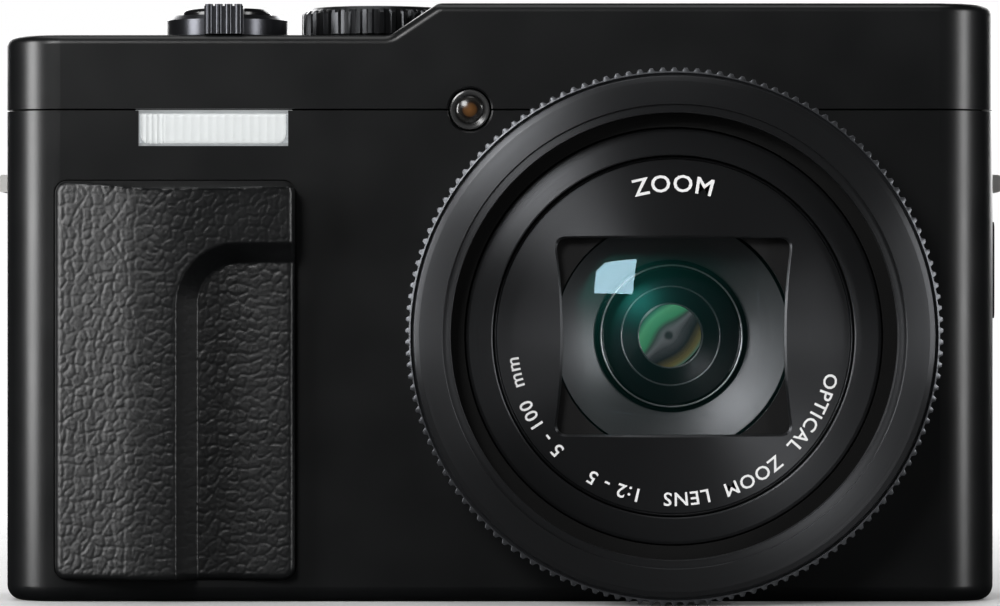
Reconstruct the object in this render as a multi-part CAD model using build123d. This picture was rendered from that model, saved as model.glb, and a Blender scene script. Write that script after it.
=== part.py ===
from build123d import *
import os
from math import acos, atan2, cos, degrees, pi, radians, sin, sqrt, tan

# A pocket-size travel-zoom digital camera, as an assembly of separate pieces.
# Millimetres. +X runs from the grip side to the lens side, -Y is the way the lens looks, +Z is up.
# The origin is at the middle of the footprint, on the surface that the camera stands on.

# ---------------------------------------------------------------- driving sizes
BODY_W = 112.2            # casing width, without the strap lugs
BODY_H = 67.6             # casing height over the raised part of the top
SHOULDER_DROP = 3.6       # the grip side of the top is this much lower
BODY_D = 26.6             # casing depth, front face to rear face
WALL = 1.2                # casing wall
SEAM_GAP = 0.2            # open joint between two casing covers
SEAM_DROP = 8.45          # top cover's lower edge below the shoulder
REAR_COVER_D = 5.3        # how far the rear cover reaches round the sides
FRONT_CORNER_R = 6.5      # upright edges beside the front face
REAR_CORNER_R = 4.0       # upright edges beside the rear face
TOP_EDGE_R = 1.0
BASE_EDGE_R = 1.7
STEP_FROM_LEFT = 43.7     # start of the slope up to the raised top
STEP_RUN = 5.4            # length of that slope
FIT = 0.1                 # gap round a piece that sits in its own hole
SLIDE_FIT = 0.15          # gap between telescoping barrels

INNER_BARREL_R = 20.1     # outside of the inner lens barrel
LIP_W = 3.15              # front lip of the outer barrel, between the two barrels
BARREL_WALL = 1.0
INNER_BARREL_WALL = 0.8
CAM_WALL = 0.9
BASE_WALL = 0.65
RING_WALL = 2.55          # control ring, bore to tooth tip
RING_STANDS = 10.2        # trim ring's front, in front of the casing
REAR_STANDS = 4.2         # thumb rest, behind the casing
LENS_FROM_RIGHT = 36.7    # lens axis from the casing's right side
GROUND_GAP = 0.25         # under the control ring
BARREL_SETBACK = 3.5      # outer barrel's front behind the trim ring's front
NAME_SETBACK = 4.45       # name ring behind the trim ring's front
ZOOM_TRAVEL = 18.0        # of each barrel
KNURL_TEETH = 150
KNURL_DEPTH = 0.45

WINDOW_LAND_X = 6.85      # name ring's opening, in from the inner barrel at each side
WINDOW_LAND_Z = 9.1       # and in from it above and below
WINDOW_BOW = 0.9          # its upright sides curve in by this much
WINDOW_R = 1.3
LEAF_T = 0.2              # barrier leaf
OUTER_LEAF_SWING = 23.0   # degrees from open to closed
INNER_LEAF_SWING = 44.0
FRONT_LENS_LAND = 6.7     # front lens frame, between the inner barrel and the glass
ZOOM_STEP = 4.0           # zoom group's bore, inside the front lens radius
FOCUS_TRAVEL = 1.8

GEAR_MODULE = 0.5
GEAR_STANDS = 1.35        # cam ring gear, its pitch circle outside the cam ring
IDLER_TEETH = 24
PINION_TEETH = 12
IDLER_ANGLE = 215.0       # idler's direction from the lens axis
PINION_ANGLE = 110.0      # pinion's direction from the idler
BACKLASH = 0.06           # taken off each side of a tooth
CAM_TURN = 100.0          # degrees, over the whole zoom travel
CAM_MARGIN = 14.0         # teeth beyond each end of that turn

LCD_W = 73.0
LCD_H = 48.6
LCD_T = 5.0
LCD_FROM_RIGHT = 3.2      # screen's right edge from the casing's right side
LCD_RECESS = 2.8
LCD_HINGE_BACK = 1.8      # hinge axis behind the rear face
LCD_HINGE_DROP = 3.65     # hinge axis below the casing seam
LCD_ABOVE_HINGE = 1.2
KNUCKLE_W = 4.0
KNUCKLE_R = 1.7
PIN_R = 0.8
PIN_FIT = 0.05            # running gap round a pin

GRIP_FROM_LEFT = 5.9
GRIP_BASE = 2.6
GRIP_W = 27.1
GRIP_H = 44.9
GRIP_STANDS = 5.0
GRIP_SUNK = 0.45
GRIP_CORNER_R = 1.4

FLASH_FROM_LEFT = 15.4
FLASH_W = 16.7
FLASH_H = 3.8
LAMP_FROM_LEFT = 52.7
LAMP_R = 2.3

SHUTTER_FROM_LEFT = 24.9
SHUTTER_Y = 9.3           # from the front face
LEVER_R = 6.95
BUTTON_R = 5.1            # shutter button
MODE_DIAL_FROM_LEFT = 42.0
MODE_DIAL_Y = 13.3
MODE_DIAL_R = 8.7
MODE_DIAL_H = 3.4
MODE_DIAL_RIBS = 40

BATTERY_W = 33.0
BATTERY_T = 11.0
BATTERY_H = 43.0
BATTERY_FROM_LEFT = 7.6
CHAMBER_WALL = 0.8
DOOR_W = 17.0             # front to back
DOOR_T = 1.3
DOOR_KNUCKLE_R = 1.0

LUG_DROP = 16.6           # strap lug below the shoulder
LUG_STANDS = 1.3          # its bar, outside the casing
PORT_BASE = 32.0
PORT_H = 11.0
PORT_L = 12.2
TRIPOD_BORE_R = 2.6
TRIPOD_DEPTH = 5.3
TRIPOD_FROM_RIGHT = 52.1

# ---------------------------------------------------------------- derived places
LEFT = -BODY_W / 2
RIGHT = BODY_W / 2
DEPTH = RING_STANDS + BODY_D + REAR_STANDS
Y_LENS = -DEPTH / 2                     # trim ring's front
Y_FRONT = Y_LENS + RING_STANDS          # casing's front face
Y_REAR = Y_FRONT + BODY_D               # casing's rear face
Y_SPLIT = Y_REAR - REAR_COVER_D
Y_BACK = Y_REAR + REAR_STANDS
SHOULDER = BODY_H - SHOULDER_DROP
SEAM = SHOULDER - SEAM_DROP
FLOOR = WALL + 0.1                      # inside of the bottom wall

OUTER_R = INNER_BARREL_R + LIP_W
CAM_IN = OUTER_R + BARREL_WALL
CAM_OUT = CAM_IN + CAM_WALL
CAM_TEETH = 2 * round((CAM_OUT + GEAR_STANDS) / GEAR_MODULE)
FIXED_IN = CAM_OUT + SLIDE_FIT
FIXED_OUT = FIXED_IN + BARREL_WALL
BASE_IN = FIXED_OUT + SLIDE_FIT
BASE_OUT = BASE_IN + BASE_WALL
RING_IN = BASE_OUT + FIT
RING_R = RING_IN + RING_WALL
LENS_X = RIGHT - LENS_FROM_RIGHT
LENS_Z = RING_R + GROUND_GAP
BARREL_FRONT = Y_LENS + BARREL_SETBACK
NAME_FRONT = Y_LENS + NAME_SETBACK
WINDOW_W = 2 * (INNER_BARREL_R - WINDOW_LAND_X)
WINDOW_H = 2 * (INNER_BARREL_R - WINDOW_LAND_Z)
FRONT_LENS_R = INNER_BARREL_R - FRONT_LENS_LAND
ZOOM_BORE = FRONT_LENS_R - ZOOM_STEP
ZOOM_GLASS_R = ZOOM_BORE - 1.7
FOCUS_GLASS_R = ZOOM_BORE - 3.45
LIP_T = 1.4                             # outer barrel's front lip
GUIDE_REAR = BARREL_FRONT + 1.1         # rear of the land that guides the outer barrel
BARREL_REAR = Y_LENS + 25.1
FLANGE_T = 1.6                          # rear flange of each barrel
GEAR_FRONT = BARREL_REAR - 0.9
GEAR_T = 2.0
PLATE_FRONT = BARREL_REAR + 3.4         # sensor plate
PLATE_T = 1.2
CUP_R = FIXED_OUT + 1.9

GRIP_LEFT = LEFT + GRIP_FROM_LEFT
FLASH_LEFT = LEFT + FLASH_FROM_LEFT
LAMP_X = LEFT + LAMP_FROM_LEFT
SHUTTER_X = LEFT + SHUTTER_FROM_LEFT
SHUTTER_YC = Y_FRONT + SHUTTER_Y
DIAL_X = LEFT + MODE_DIAL_FROM_LEFT
DIAL_Y = Y_FRONT + MODE_DIAL_Y
BATTERY_LEFT = LEFT + BATTERY_FROM_LEFT
BATTERY_RIGHT = BATTERY_LEFT + BATTERY_W
BATTERY_FRONT = Y_FRONT + WALL + CHAMBER_WALL + 0.2
BATTERY_BASE = DOOR_T + 0.5
LUG_Z = SHOULDER - LUG_DROP
TRIPOD_X = RIGHT - TRIPOD_FROM_RIGHT
TRIPOD_Y = Y_FRONT + 8.2
LCD_RIGHT = RIGHT - LCD_FROM_RIGHT
LCD_LEFT = LCD_RIGHT - LCD_W
HINGE_Y = Y_REAR + LCD_HINGE_BACK
HINGE_Z = SEAM - LCD_HINGE_DROP
LCD_TOP = HINGE_Z + LCD_ABOVE_HINGE
LCD_BASE = LCD_TOP - LCD_H
LCD_BACK = HINGE_Y + 1.5
LCD_FRONT = LCD_BACK - LCD_T
RECESS_FLOOR = Y_REAR - LCD_RECESS


# ---------------------------------------------------------------- shape helpers
def block(x0, x1, y0, y1, z0, z1):
    """A box between two corners."""
    return Pos((x0 + x1) / 2, (y0 + y1) / 2, (z0 + z1) / 2) * Box(x1 - x0, y1 - y0, z1 - z0)


def rod_y(x, z, radius, y0, y1):
    """A round bar along Y."""
    return Pos(x, (y0 + y1) / 2, z) * Rot(90, 0, 0) * Cylinder(radius, y1 - y0)


def rod_x(y, z, radius, x0, x1):
    """A round bar along X."""
    return Pos((x0 + x1) / 2, y, z) * Rot(0, 90, 0) * Cylinder(radius, x1 - x0)


def rod_z(x, y, radius, z0, z1):
    """A round bar along Z."""
    return Pos(x, y, (z0 + z1) / 2) * Cylinder(radius, z1 - z0)


def front_plane(y):
    """A drawing plane facing the front: its x is X and its y is Z."""
    return Plane(origin=(0, y, 0), x_dir=(1, 0, 0), z_dir=(0, -1, 0))


def plate_y(sketch, y0, y1):
    """A front-view outline made solid between two depths."""
    return extrude(front_plane(y1) * sketch, amount=y1 - y0, dir=(0, -1, 0))


def prism_z(sketch, z0, z1):
    """A plan-view outline made solid between two heights."""
    return extrude(Pos(0, 0, z0) * sketch, amount=z1 - z0, dir=(0, 0, 1))


def outline(points, radius_at=()):
    """A polygon with chosen corners rounded: radius_at holds (x, y, radius)."""
    face = Polygon(*points, align=None)
    for x, y, radius in radius_at:
        corner = face.vertices().sort_by_distance((x, y, 0))[0]
        face = fillet(corner, radius)
    return face


def turned(profile, x=LENS_X, z=LENS_Z):
    """A turned piece about an axis along Y: profile holds (radius, y)."""
    plane = Plane(origin=(x, 0, z), x_dir=(1, 0, 0), z_dir=(0, 0, 1))
    return revolve(plane * Polygon(*profile, align=None), axis=Axis((x, 0, z), (0, 1, 0)))


def lens_solid(radius, y_apex, front_sag, y_rear, rear_sag, x=LENS_X, z=LENS_Z):
    """A glass element: the front bulges towards -Y by front_sag, the rear hollows by rear_sag."""
    plane = Plane(origin=(x, 0, z), x_dir=(1, 0, 0), z_dir=(0, 0, 1))
    edge_y = y_apex + front_sag

    def on_arc(sag):
        # the arc's height above its chord, a third of the way out from the axis
        curve = (radius**2 + sag**2) / (2 * sag)
        return curve - sqrt(curve**2 - (radius / 2) ** 2)

    front = ThreePointArc((0, y_apex), (radius / 2, y_apex + on_arc(front_sag)), (radius, edge_y))
    side = Line((radius, edge_y), (radius, y_rear))
    hollow = y_rear - rear_sag
    back = ThreePointArc((radius, y_rear), (radius / 2, hollow + on_arc(rear_sag)), (0, hollow))
    axis_line = Line((0, hollow), (0, y_apex))
    face = make_face([front, side, back, axis_line])
    return revolve(plane * face, axis=Axis((x, 0, z), (0, 1, 0)))


def gear_outline(teeth, first=0.0, count=None, rim=0.0):
    """Involute gear about the origin; first is the angle of a tooth's middle, rim > 0 gives a toothed sector."""
    pitch = teeth * GEAR_MODULE / 2
    base = pitch * cos(radians(20))
    tip = pitch + GEAR_MODULE * 0.95
    root = pitch - GEAR_MODULE * 1.2
    half = pi / (2 * teeth) - BACKLASH / pitch
    involute_pitch = tan(acos(base / pitch)) - acos(base / pitch)

    def half_angle(radius):
        roll = acos(min(1.0, base / radius))
        return half + involute_pitch - (tan(roll) - roll)

    radii = [max(root, base), pitch, tip]
    points = []
    for k in range(count or teeth):
        middle = radians(first) + 2 * pi * k / teeth
        flank = [(root, -half_angle(radii[0]))] if root < radii[0] else []
        flank += [(r, -half_angle(r)) for r in radii]
        for r, a in flank + [(r, -a) for r, a in reversed(flank)]:
            points.append((r * cos(middle + a), r * sin(middle + a)))
    if rim:
        last = radians(first) + 2 * pi * ((count or teeth) - 0.5) / teeth
        start = radians(first) - pi / teeth
        steps = 40
        arc = [last + (start - last) * i / steps for i in range(steps + 1)]
        points += [(rim * cos(a), rim * sin(a)) for a in arc]
    return Polygon(*points, align=None)


parts = {}

# ---------------------------------------------------------------- casing
def body_plan(inset=0.0):
    """The casing's plan outline, with its rounded upright edges."""
    x0, x1 = LEFT + inset, RIGHT - inset
    y0, y1 = Y_FRONT + inset, Y_REAR - inset
    corners = [(x0, y0), (x1, y0), (x1, y1), (x0, y1)]
    front, rear = FRONT_CORNER_R - inset, REAR_CORNER_R - inset
    return outline(corners, [(x0, y0, front), (x1, y0, front), (x1, y1, rear), (x0, y1, rear)])


def body_front(inset=0.0, floor=0.0):
    """The casing's front outline, with the step in its top."""
    x0, x1 = LEFT - 1 + inset, RIGHT + 1 - inset
    step = LEFT + STEP_FROM_LEFT
    low, high = SHOULDER - inset, BODY_H - inset
    points = [(x0, floor), (x1, floor), (x1, high), (step + STEP_RUN, high), (step, low), (x0, low)]
    return outline(points, [(step + STEP_RUN, high, 1.6), (step, low, 1.6)])


def casing():
    """The hollow casing before it is cut into covers."""
    outer = prism_z(body_plan(), 0, BODY_H + 1) & plate_y(body_front(), Y_FRONT - 1, Y_REAR + 1)
    outer = fillet(outer.faces().sort_by(Axis.Z)[0].edges(), BASE_EDGE_R)
    top_edges = [
        e
        for e in outer.edges()
        if e.center().Z > SHOULDER - 0.01 and meets_front_or_rear(e) and not is_across(e)
    ] + corner_top_edges(outer)
    outer = fillet(ShapeList(dict.fromkeys(top_edges)), TOP_EDGE_R)
    return outer


def meets_front_or_rear(edge):
    """True for an edge with an end on the front face or the rear face."""
    return any(min(abs(v.Y - Y_FRONT), abs(v.Y - Y_REAR)) < 0.001 for v in edge.vertices())


def is_across(edge):
    """True for an edge that runs front to back over the top, where the step's faces meet."""
    box = edge.bounding_box()
    return box.size.Y > BODY_D / 2 and box.size.X < 0.01


def corner_top_edges(solid):
    """The top edges along the two sides, and round the plan's four corners."""
    found = []
    for e in solid.edges():
        box = e.bounding_box()
        level = box.size.Z < 0.01 and e.center().Z > SHOULDER - 0.01
        at_side = min(abs(box.min.X - LEFT), abs(box.max.X - RIGHT)) < 0.01
        if level and at_side:
            found.append(e)
    return found


outer_block = casing()
inner_block = prism_z(body_plan(WALL), FLOOR, BODY_H) & plate_y(body_front(WALL, FLOOR), Y_FRONT, Y_REAR)
shell = outer_block - inner_block

half_gap = SEAM_GAP / 2
far = BODY_W + BODY_H
front_region = block(-far, far, -far, Y_SPLIT - half_gap, -1, SEAM - half_gap)
rear_region = block(-far, far, Y_SPLIT + half_gap, far, -1, SEAM - half_gap)
top_region = block(-far, far, -far, far, SEAM + half_gap, far)

lens_hole = rod_y(LENS_X, LENS_Z, BASE_OUT + FIT, Y_FRONT - 1, Y_FRONT + WALL + 1)
lamp_hole = rod_y(LAMP_X, SEAM, LAMP_R + 0.15, Y_FRONT - 1, Y_FRONT + WALL + 1)
lamp_dish = Pos(LAMP_X, Y_FRONT, SEAM) * Rot(90, 0, 0) * Cone(LAMP_R + 0.15, LAMP_R + 0.55, 0.4,
    align=(Align.CENTER, Align.CENTER, Align.CENTER))
flash_hole = block(FLASH_LEFT - FIT, FLASH_LEFT + FLASH_W + FIT, Y_FRONT - 1, Y_FRONT + WALL + 1,
                   SEAM - half_gap - FLASH_H - 2 * FIT, SEAM)

SCREW_R = 0.8
SCREW_HEAD_R = 1.4
SCREW_HEAD_T = 0.6
SCREW_L = 4.0
SCREW_Y = Y_SPLIT - 2.4
# (x, y, z, direction the screw drives in): two under the base, two in each side
SCREWS = [
    (LEFT + 46.5, SCREW_Y, 0.0, (0, 0, 1)),
    (RIGHT - 10.0, SCREW_Y, 0.0, (0, 0, 1)),
    (LEFT, SCREW_Y, 14.0, (1, 0, 0)),
    (LEFT, SCREW_Y, 30.0, (1, 0, 0)),
    (RIGHT, SCREW_Y, 14.0, (-1, 0, 0)),
    (RIGHT, SCREW_Y, 24.0, (-1, 0, 0)),
]


def along(x, y, z, direction, radius, start, end):
    """A round bar on a screw's axis, from start to end below the casing's surface."""
    plane = Plane(origin=(x, y, z), z_dir=direction)
    return plane * (Pos(0, 0, (start + end) / 2) * Cylinder(radius, end - start))


screw_holes = [along(x, y, z, d, SCREW_HEAD_R + FIT, -1, SCREW_HEAD_T + 0.1) for x, y, z, d in SCREWS]
screw_holes += [along(x, y, z, d, SCREW_R + FIT, 0, WALL + 0.5) for x, y, z, d in SCREWS]

# strap lug recess: a rounded slot in each side, with a raised rim and its own floor
LUG_Y = Y_FRONT + 12.6
LUG_SLOT_L = 7.0          # front to back
LUG_SLOT_H = 9.2
LUG_SLOT_DEPTH = 1.5
LUG_RIM = 0.35
LUG_RIM_STANDS = 0.2


def lug_slot(side, grow, depth0, depth1):
    """A rounded slot-shaped bar across the casing's side; depths run in from the side face."""
    sketch = RectangleRounded(LUG_SLOT_L + 2 * grow, LUG_SLOT_H + 2 * grow, (LUG_SLOT_L / 2 + grow) * 0.9)
    plane = Plane(origin=(side * (BODY_W / 2 - depth1), LUG_Y, LUG_Z), x_dir=(0, 1, 0), z_dir=(side, 0, 0))
    return extrude(plane * sketch, amount=depth1 - depth0)


front_cover = (shell & front_region) - lens_hole - lamp_hole - lamp_dish - flash_hole
for side in (-1, 1):
    front_cover += lug_slot(side, WALL, 0.05, LUG_SLOT_DEPTH + WALL) & outer_block
    front_cover += lug_slot(side, LUG_RIM, -LUG_RIM_STANDS, WALL)
    front_cover -= lug_slot(side, 0, -1, LUG_SLOT_DEPTH)
for hole in screw_holes:
    front_cover -= hole

# grip pocket
grip_sketch = Pos(GRIP_LEFT + GRIP_W / 2, GRIP_BASE + GRIP_H / 2) * RectangleRounded(GRIP_W, GRIP_H,
    GRIP_CORNER_R)
grip_pocket = plate_y(offset(grip_sketch, SLIDE_FIT), Y_FRONT - 1, Y_FRONT + GRIP_SUNK)
front_cover -= grip_pocket

# battery door opening, with a round clearance for the hinge knuckle
DOOR_LEFT = BATTERY_LEFT - 1.2
DOOR_AXIS_X = BATTERY_RIGHT + 1.6
DOOR_AXIS_Z = DOOR_KNUCKLE_R + 0.05
DOOR_FRONT = BATTERY_FRONT - 0.2
DOOR_BACK = DOOR_FRONT + DOOR_W
door_opening = block(DOOR_LEFT - FIT, DOOR_AXIS_X + DOOR_KNUCKLE_R + FIT, DOOR_FRONT - FIT, DOOR_BACK + FIT,
                     -1, FLOOR + 0.5)
front_cover -= door_opening
front_cover -= rod_z(TRIPOD_X, TRIPOD_Y, 4.0 + FIT, -1, FLOOR + 1)

# port opening in the right side
PORT_AXIS_Y = Y_SPLIT - 1.8
PORT_AXIS_X = RIGHT - WALL / 2
PORT_KNUCKLE_R = 0.55
PORT_FRONT = PORT_AXIS_Y - PORT_L + PORT_KNUCKLE_R
front_cover -= block(RIGHT - WALL - 0.5, RIGHT + 1, PORT_FRONT - FIT, PORT_AXIS_Y + PORT_KNUCKLE_R + FIT,
                     PORT_BASE - FIT, PORT_BASE + PORT_H + FIT)
parts["front_cover"] = front_cover

# ---------------------------------------------------------------- rear cover
CONTROL_X = LEFT + 18.8          # rear control dial
CONTROL_Z = 24.0
CONTROL_R = 9.5
SET_R = 3.9
REAR_BUTTON_R = 2.3
BUTTON_STANDS = 0.6
BUTTON_WELL = 2.0
BUTTON_TRAVEL = 0.5
# small round buttons about the dial: name, x and z from the dial's centre
REAR_BUTTONS = [("playback_button", -8.4, 17.0), ("menu_button", 8.4, 17.0),
                ("display_button", -8.4, -16.0), ("delete_button", 8.4, -16.0)]
rear_cover = shell & rear_region
recess = block(LCD_LEFT - 0.4, LCD_RIGHT + 0.4, RECESS_FLOOR, Y_REAR + 1, LCD_BASE - 0.4, HINGE_Z + 2.3)
tub = block(LCD_LEFT - 0.4 - WALL, LCD_RIGHT + 0.4 + WALL, RECESS_FLOOR - WALL, Y_REAR - 0.3,
            LCD_BASE - 0.4 - WALL, HINGE_Z + 2.3 + 0.9)
rear_cover += tub & outer_block & rear_region
rear_cover += block(LEFT + WALL / 2, LEFT + 34.0, Y_REAR - BUTTON_WELL - 0.9, Y_REAR - 0.3, 4.0,
                    46.0) & outer_block
rear_cover -= recess
rear_cover -= rod_y(CONTROL_X, CONTROL_Z, CONTROL_R + FIT, Y_REAR - BUTTON_WELL, Y_REAR + 1)
for name, dx, dz in REAR_BUTTONS:
    rear_cover -= rod_y(CONTROL_X + dx, CONTROL_Z + dz, REAR_BUTTON_R + FIT, Y_REAR - BUTTON_WELL, Y_REAR + 1)


def knuckle_x(end):
    """Left side of the screen hinge's fixed knuckle: end 0 is the left one, 1 the right one."""
    return LCD_LEFT + 0.3 if end == 0 else LCD_RIGHT - 0.3 - KNUCKLE_W


for end in (0, 1):
    x0 = knuckle_x(end)
    ear = rod_x(HINGE_Y, HINGE_Z, KNUCKLE_R, x0, x0 + KNUCKLE_W)
    ear += block(x0, x0 + KNUCKLE_W, RECESS_FLOOR - 0.2, HINGE_Y, HINGE_Z - KNUCKLE_R, HINGE_Z + KNUCKLE_R)
    rear_cover += ear
    rear_cover -= rod_x(HINGE_Y, HINGE_Z, PIN_R, x0 - 1, x0 + KNUCKLE_W + 1)
parts["rear_cover"] = rear_cover

# ---------------------------------------------------------------- top cover
DIAL_POCKET_R = MODE_DIAL_R + 0.5
DIAL_SHAFT_R = 2.0
STEM_R = 1.5
POWER_X, POWER_Y, POWER_R = LEFT + 9.0, Y_FRONT + 13.8, 3.0
MOVIE_X, MOVIE_Y, MOVIE_R = LEFT + 31.4, Y_FRONT + 21.6, 2.4
TOP_WELL = 1.6
top_cover = (shell & top_region) - lens_hole - lamp_hole - lamp_dish
top_cover += rod_z(DIAL_X, DIAL_Y, DIAL_POCKET_R + WALL, SHOULDER - WALL, BODY_H + 1) & outer_block
top_cover -= rod_z(DIAL_X, DIAL_Y, DIAL_POCKET_R, SHOULDER, BODY_H + 1)
top_cover -= rod_z(DIAL_X, DIAL_Y, DIAL_SHAFT_R + PIN_FIT, SHOULDER - 3, SHOULDER + 1)
for x, y, r in ((POWER_X, POWER_Y, POWER_R), (MOVIE_X, MOVIE_Y, MOVIE_R)):
    top_cover += rod_z(x, y, r + 1.0, SHOULDER - TOP_WELL - 0.9, SHOULDER - 0.3) & outer_block
    top_cover -= rod_z(x, y, r + FIT, SHOULDER - TOP_WELL, SHOULDER + 1)
top_cover -= rod_z(SHUTTER_X, SHUTTER_YC, STEM_R + PIN_FIT, SHOULDER - 3, SHOULDER + 1)
MIC_X = RIGHT - 46.0
MIC_PITCH = 2.2
for k in range(6):
    shift = MIC_PITCH * (k % 3) + (0 if k < 3 else 12.0)
    top_cover -= rod_z(MIC_X + shift, Y_FRONT + 9.0, 0.45, BODY_H - 3, BODY_H + 1)
parts["top_cover"] = top_cover

# ---------------------------------------------------------------- grip and thumb rest
RIDGE_X = GRIP_LEFT + 14.6
SCOOP_TOP = GRIP_BASE + GRIP_H - 7.2
SCOOP_FLOOR = Y_FRONT - 0.75
GRIP_RIGHT = GRIP_LEFT + GRIP_W
bump_line = Spline(
    (GRIP_LEFT - 0.1, Y_FRONT - 0.4), (GRIP_LEFT + 5.5, Y_FRONT - GRIP_STANDS * 0.66), (RIDGE_X,
        Y_FRONT - GRIP_STANDS),
    tangents=[(1, -1), (1, 0)])
bump = make_face([
    bump_line,
    Spline((RIDGE_X, Y_FRONT - GRIP_STANDS), (GRIP_RIGHT + 0.1, Y_FRONT - 1.4), tangents=[(1, 0), (1, 0.35)]),
    Line((GRIP_RIGHT + 0.1, Y_FRONT - 1.4), (GRIP_RIGHT + 0.1, Y_FRONT + 2)),
    Line((GRIP_RIGHT + 0.1, Y_FRONT + 2), (GRIP_LEFT - 0.1, Y_FRONT + 2)),
    Line((GRIP_LEFT - 0.1, Y_FRONT + 2), (GRIP_LEFT - 0.1, Y_FRONT - 0.4)),
])
grip_pad = plate_y(grip_sketch, Y_FRONT - GRIP_STANDS - 1, Y_FRONT + GRIP_SUNK) & prism_z(bump, 0, BODY_H)
scoop_outline = outline(
    [(RIDGE_X, GRIP_BASE - 5), (GRIP_LEFT + GRIP_W + 5, GRIP_BASE - 5),
     (GRIP_LEFT + GRIP_W + 5, SCOOP_TOP), (RIDGE_X, SCOOP_TOP)],
    [(RIDGE_X, SCOOP_TOP, 6.5)])
grip_pad -= plate_y(scoop_outline, Y_FRONT - GRIP_STANDS - 2, SCOOP_FLOOR)
taper = Polygon((Y_FRONT - GRIP_STANDS - 0.2, GRIP_BASE + GRIP_H - 14), (Y_FRONT - 0.6, GRIP_BASE + GRIP_H),
                (Y_FRONT - 0.6, GRIP_BASE + GRIP_H + 1), (Y_FRONT - GRIP_STANDS - 6, GRIP_BASE + GRIP_H + 1),
                (Y_FRONT - GRIP_STANDS - 6, GRIP_BASE + GRIP_H - 14), align=None)
side_plane = Plane(origin=(LEFT, 0, 0), x_dir=(0, 1, 0), z_dir=(1, 0, 0))
grip_pad -= extrude(side_plane * taper, amount=BODY_W, dir=(1, 0, 0))
parts["grip_pad"] = grip_pad

THUMB_LEFT = LEFT + 5.0
THUMB_W = 22.0
THUMB_BASE = SEAM - 8.2
THUMB_H = 7.4
thumb_sketch = Pos(THUMB_LEFT + THUMB_W / 2, THUMB_BASE + THUMB_H / 2) * RectangleRounded(THUMB_W, THUMB_H,
    2.0)
thumb_rest = plate_y(thumb_sketch, Y_REAR, Y_BACK)
thumb_slope = Polygon((THUMB_LEFT - 1, Y_REAR + 0.8), (THUMB_LEFT + 9, Y_REAR + 1.2),
                      (THUMB_LEFT + THUMB_W - 4.5, Y_BACK),
                      (THUMB_LEFT + THUMB_W - 2.0, Y_BACK), (THUMB_LEFT + THUMB_W + 1, Y_REAR + 2.0),
                      (THUMB_LEFT + THUMB_W + 1, Y_REAR - 1), (THUMB_LEFT - 1, Y_REAR - 1), align=None)
parts["thumb_rest"] = thumb_rest & prism_z(thumb_slope, 0, BODY_H)

# ---------------------------------------------------------------- flash and focus lamp
flash_base = SEAM - half_gap - FLASH_H - FIT
flash_outline = outline(
    [(FLASH_LEFT, flash_base), (FLASH_LEFT + FLASH_W, flash_base),
     (FLASH_LEFT + FLASH_W, flash_base + FLASH_H), (FLASH_LEFT, flash_base + FLASH_H)],
    [(FLASH_LEFT, flash_base, 1.0), (FLASH_LEFT + FLASH_W, flash_base, 1.0)])
parts["flash_window"] = plate_y(flash_outline, Y_FRONT - 0.05, Y_FRONT + WALL)
TUBE_Y = Y_FRONT + WALL + 3.0
TUBE_Z = flash_base + FLASH_H / 2
TUBE_R = 0.9
trough = block(FLASH_LEFT - 0.5, FLASH_LEFT + FLASH_W + 0.5, Y_FRONT + WALL + 0.15, TUBE_Y + 1.9,
               flash_base - 0.6, flash_base + FLASH_H + 0.2)
trough -= plate_y(Pos(FLASH_LEFT + FLASH_W / 2, TUBE_Z) * Rectangle(FLASH_W + 0.1, FLASH_H - 0.5), Y_FRONT,
                  TUBE_Y)
trough -= rod_x(TUBE_Y, TUBE_Z, TUBE_R + 0.5, FLASH_LEFT - 1, FLASH_LEFT + FLASH_W + 1)
parts["flash_reflector"] = trough
parts["flash_tube"] = rod_x(TUBE_Y, TUBE_Z, TUBE_R, FLASH_LEFT - 0.6, FLASH_LEFT + FLASH_W + 0.6)
CAPACITOR_R = 4.2
CAPACITOR_Z = BATTERY_BASE + BATTERY_H + 7.6
capacitor = rod_x(Y_FRONT + 16.4, CAPACITOR_Z, CAPACITOR_R, LEFT + 8, LEFT + 38)
parts["flash_capacitor"] = chamfer(capacitor.edges(), 0.4)
lamp = turned([(0, Y_FRONT - 0.05), (LAMP_R * 0.5, Y_FRONT), (LAMP_R - 0.35, Y_FRONT + 0.25),
               (LAMP_R, Y_FRONT + 0.5),
               (LAMP_R, Y_FRONT + 2.6), (0, Y_FRONT + 2.6)], LAMP_X, SEAM)
parts["focus_lamp"] = lamp

# ---------------------------------------------------------------- lens: fixed pieces
parts["lens_base"] = turned([
    (OUTER_R + SLIDE_FIT, BARREL_FRONT - 0.2), (BASE_IN, BARREL_FRONT - 0.2), (BASE_IN, Y_LENS + 0.9),
    (BASE_OUT, Y_LENS + 0.9), (BASE_OUT, Y_FRONT - 0.75), (RING_R - KNURL_DEPTH - 0.1, Y_FRONT - 0.75),
    (RING_R - KNURL_DEPTH - 0.1, Y_FRONT - 0.05), (BASE_OUT, Y_FRONT - 0.05), (BASE_OUT, Y_FRONT + 1.4),
    (BASE_IN, Y_FRONT + 1.4), (BASE_IN, GUIDE_REAR), (OUTER_R + SLIDE_FIT, GUIDE_REAR)])
TRIM_R = RING_R - 0.75
parts["trim_ring"] = turned([
    (OUTER_R + 1.65, Y_LENS + 0.5), (OUTER_R + 2.45, Y_LENS), (TRIM_R - 0.6, Y_LENS), (TRIM_R, Y_LENS + 0.55),
    (TRIM_R, Y_LENS + 0.85), (BASE_IN - 0.05, Y_LENS + 0.85), (BASE_IN - 0.05, Y_LENS + 2.5),
    (OUTER_R + 1.65, Y_LENS + 2.5)])
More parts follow.
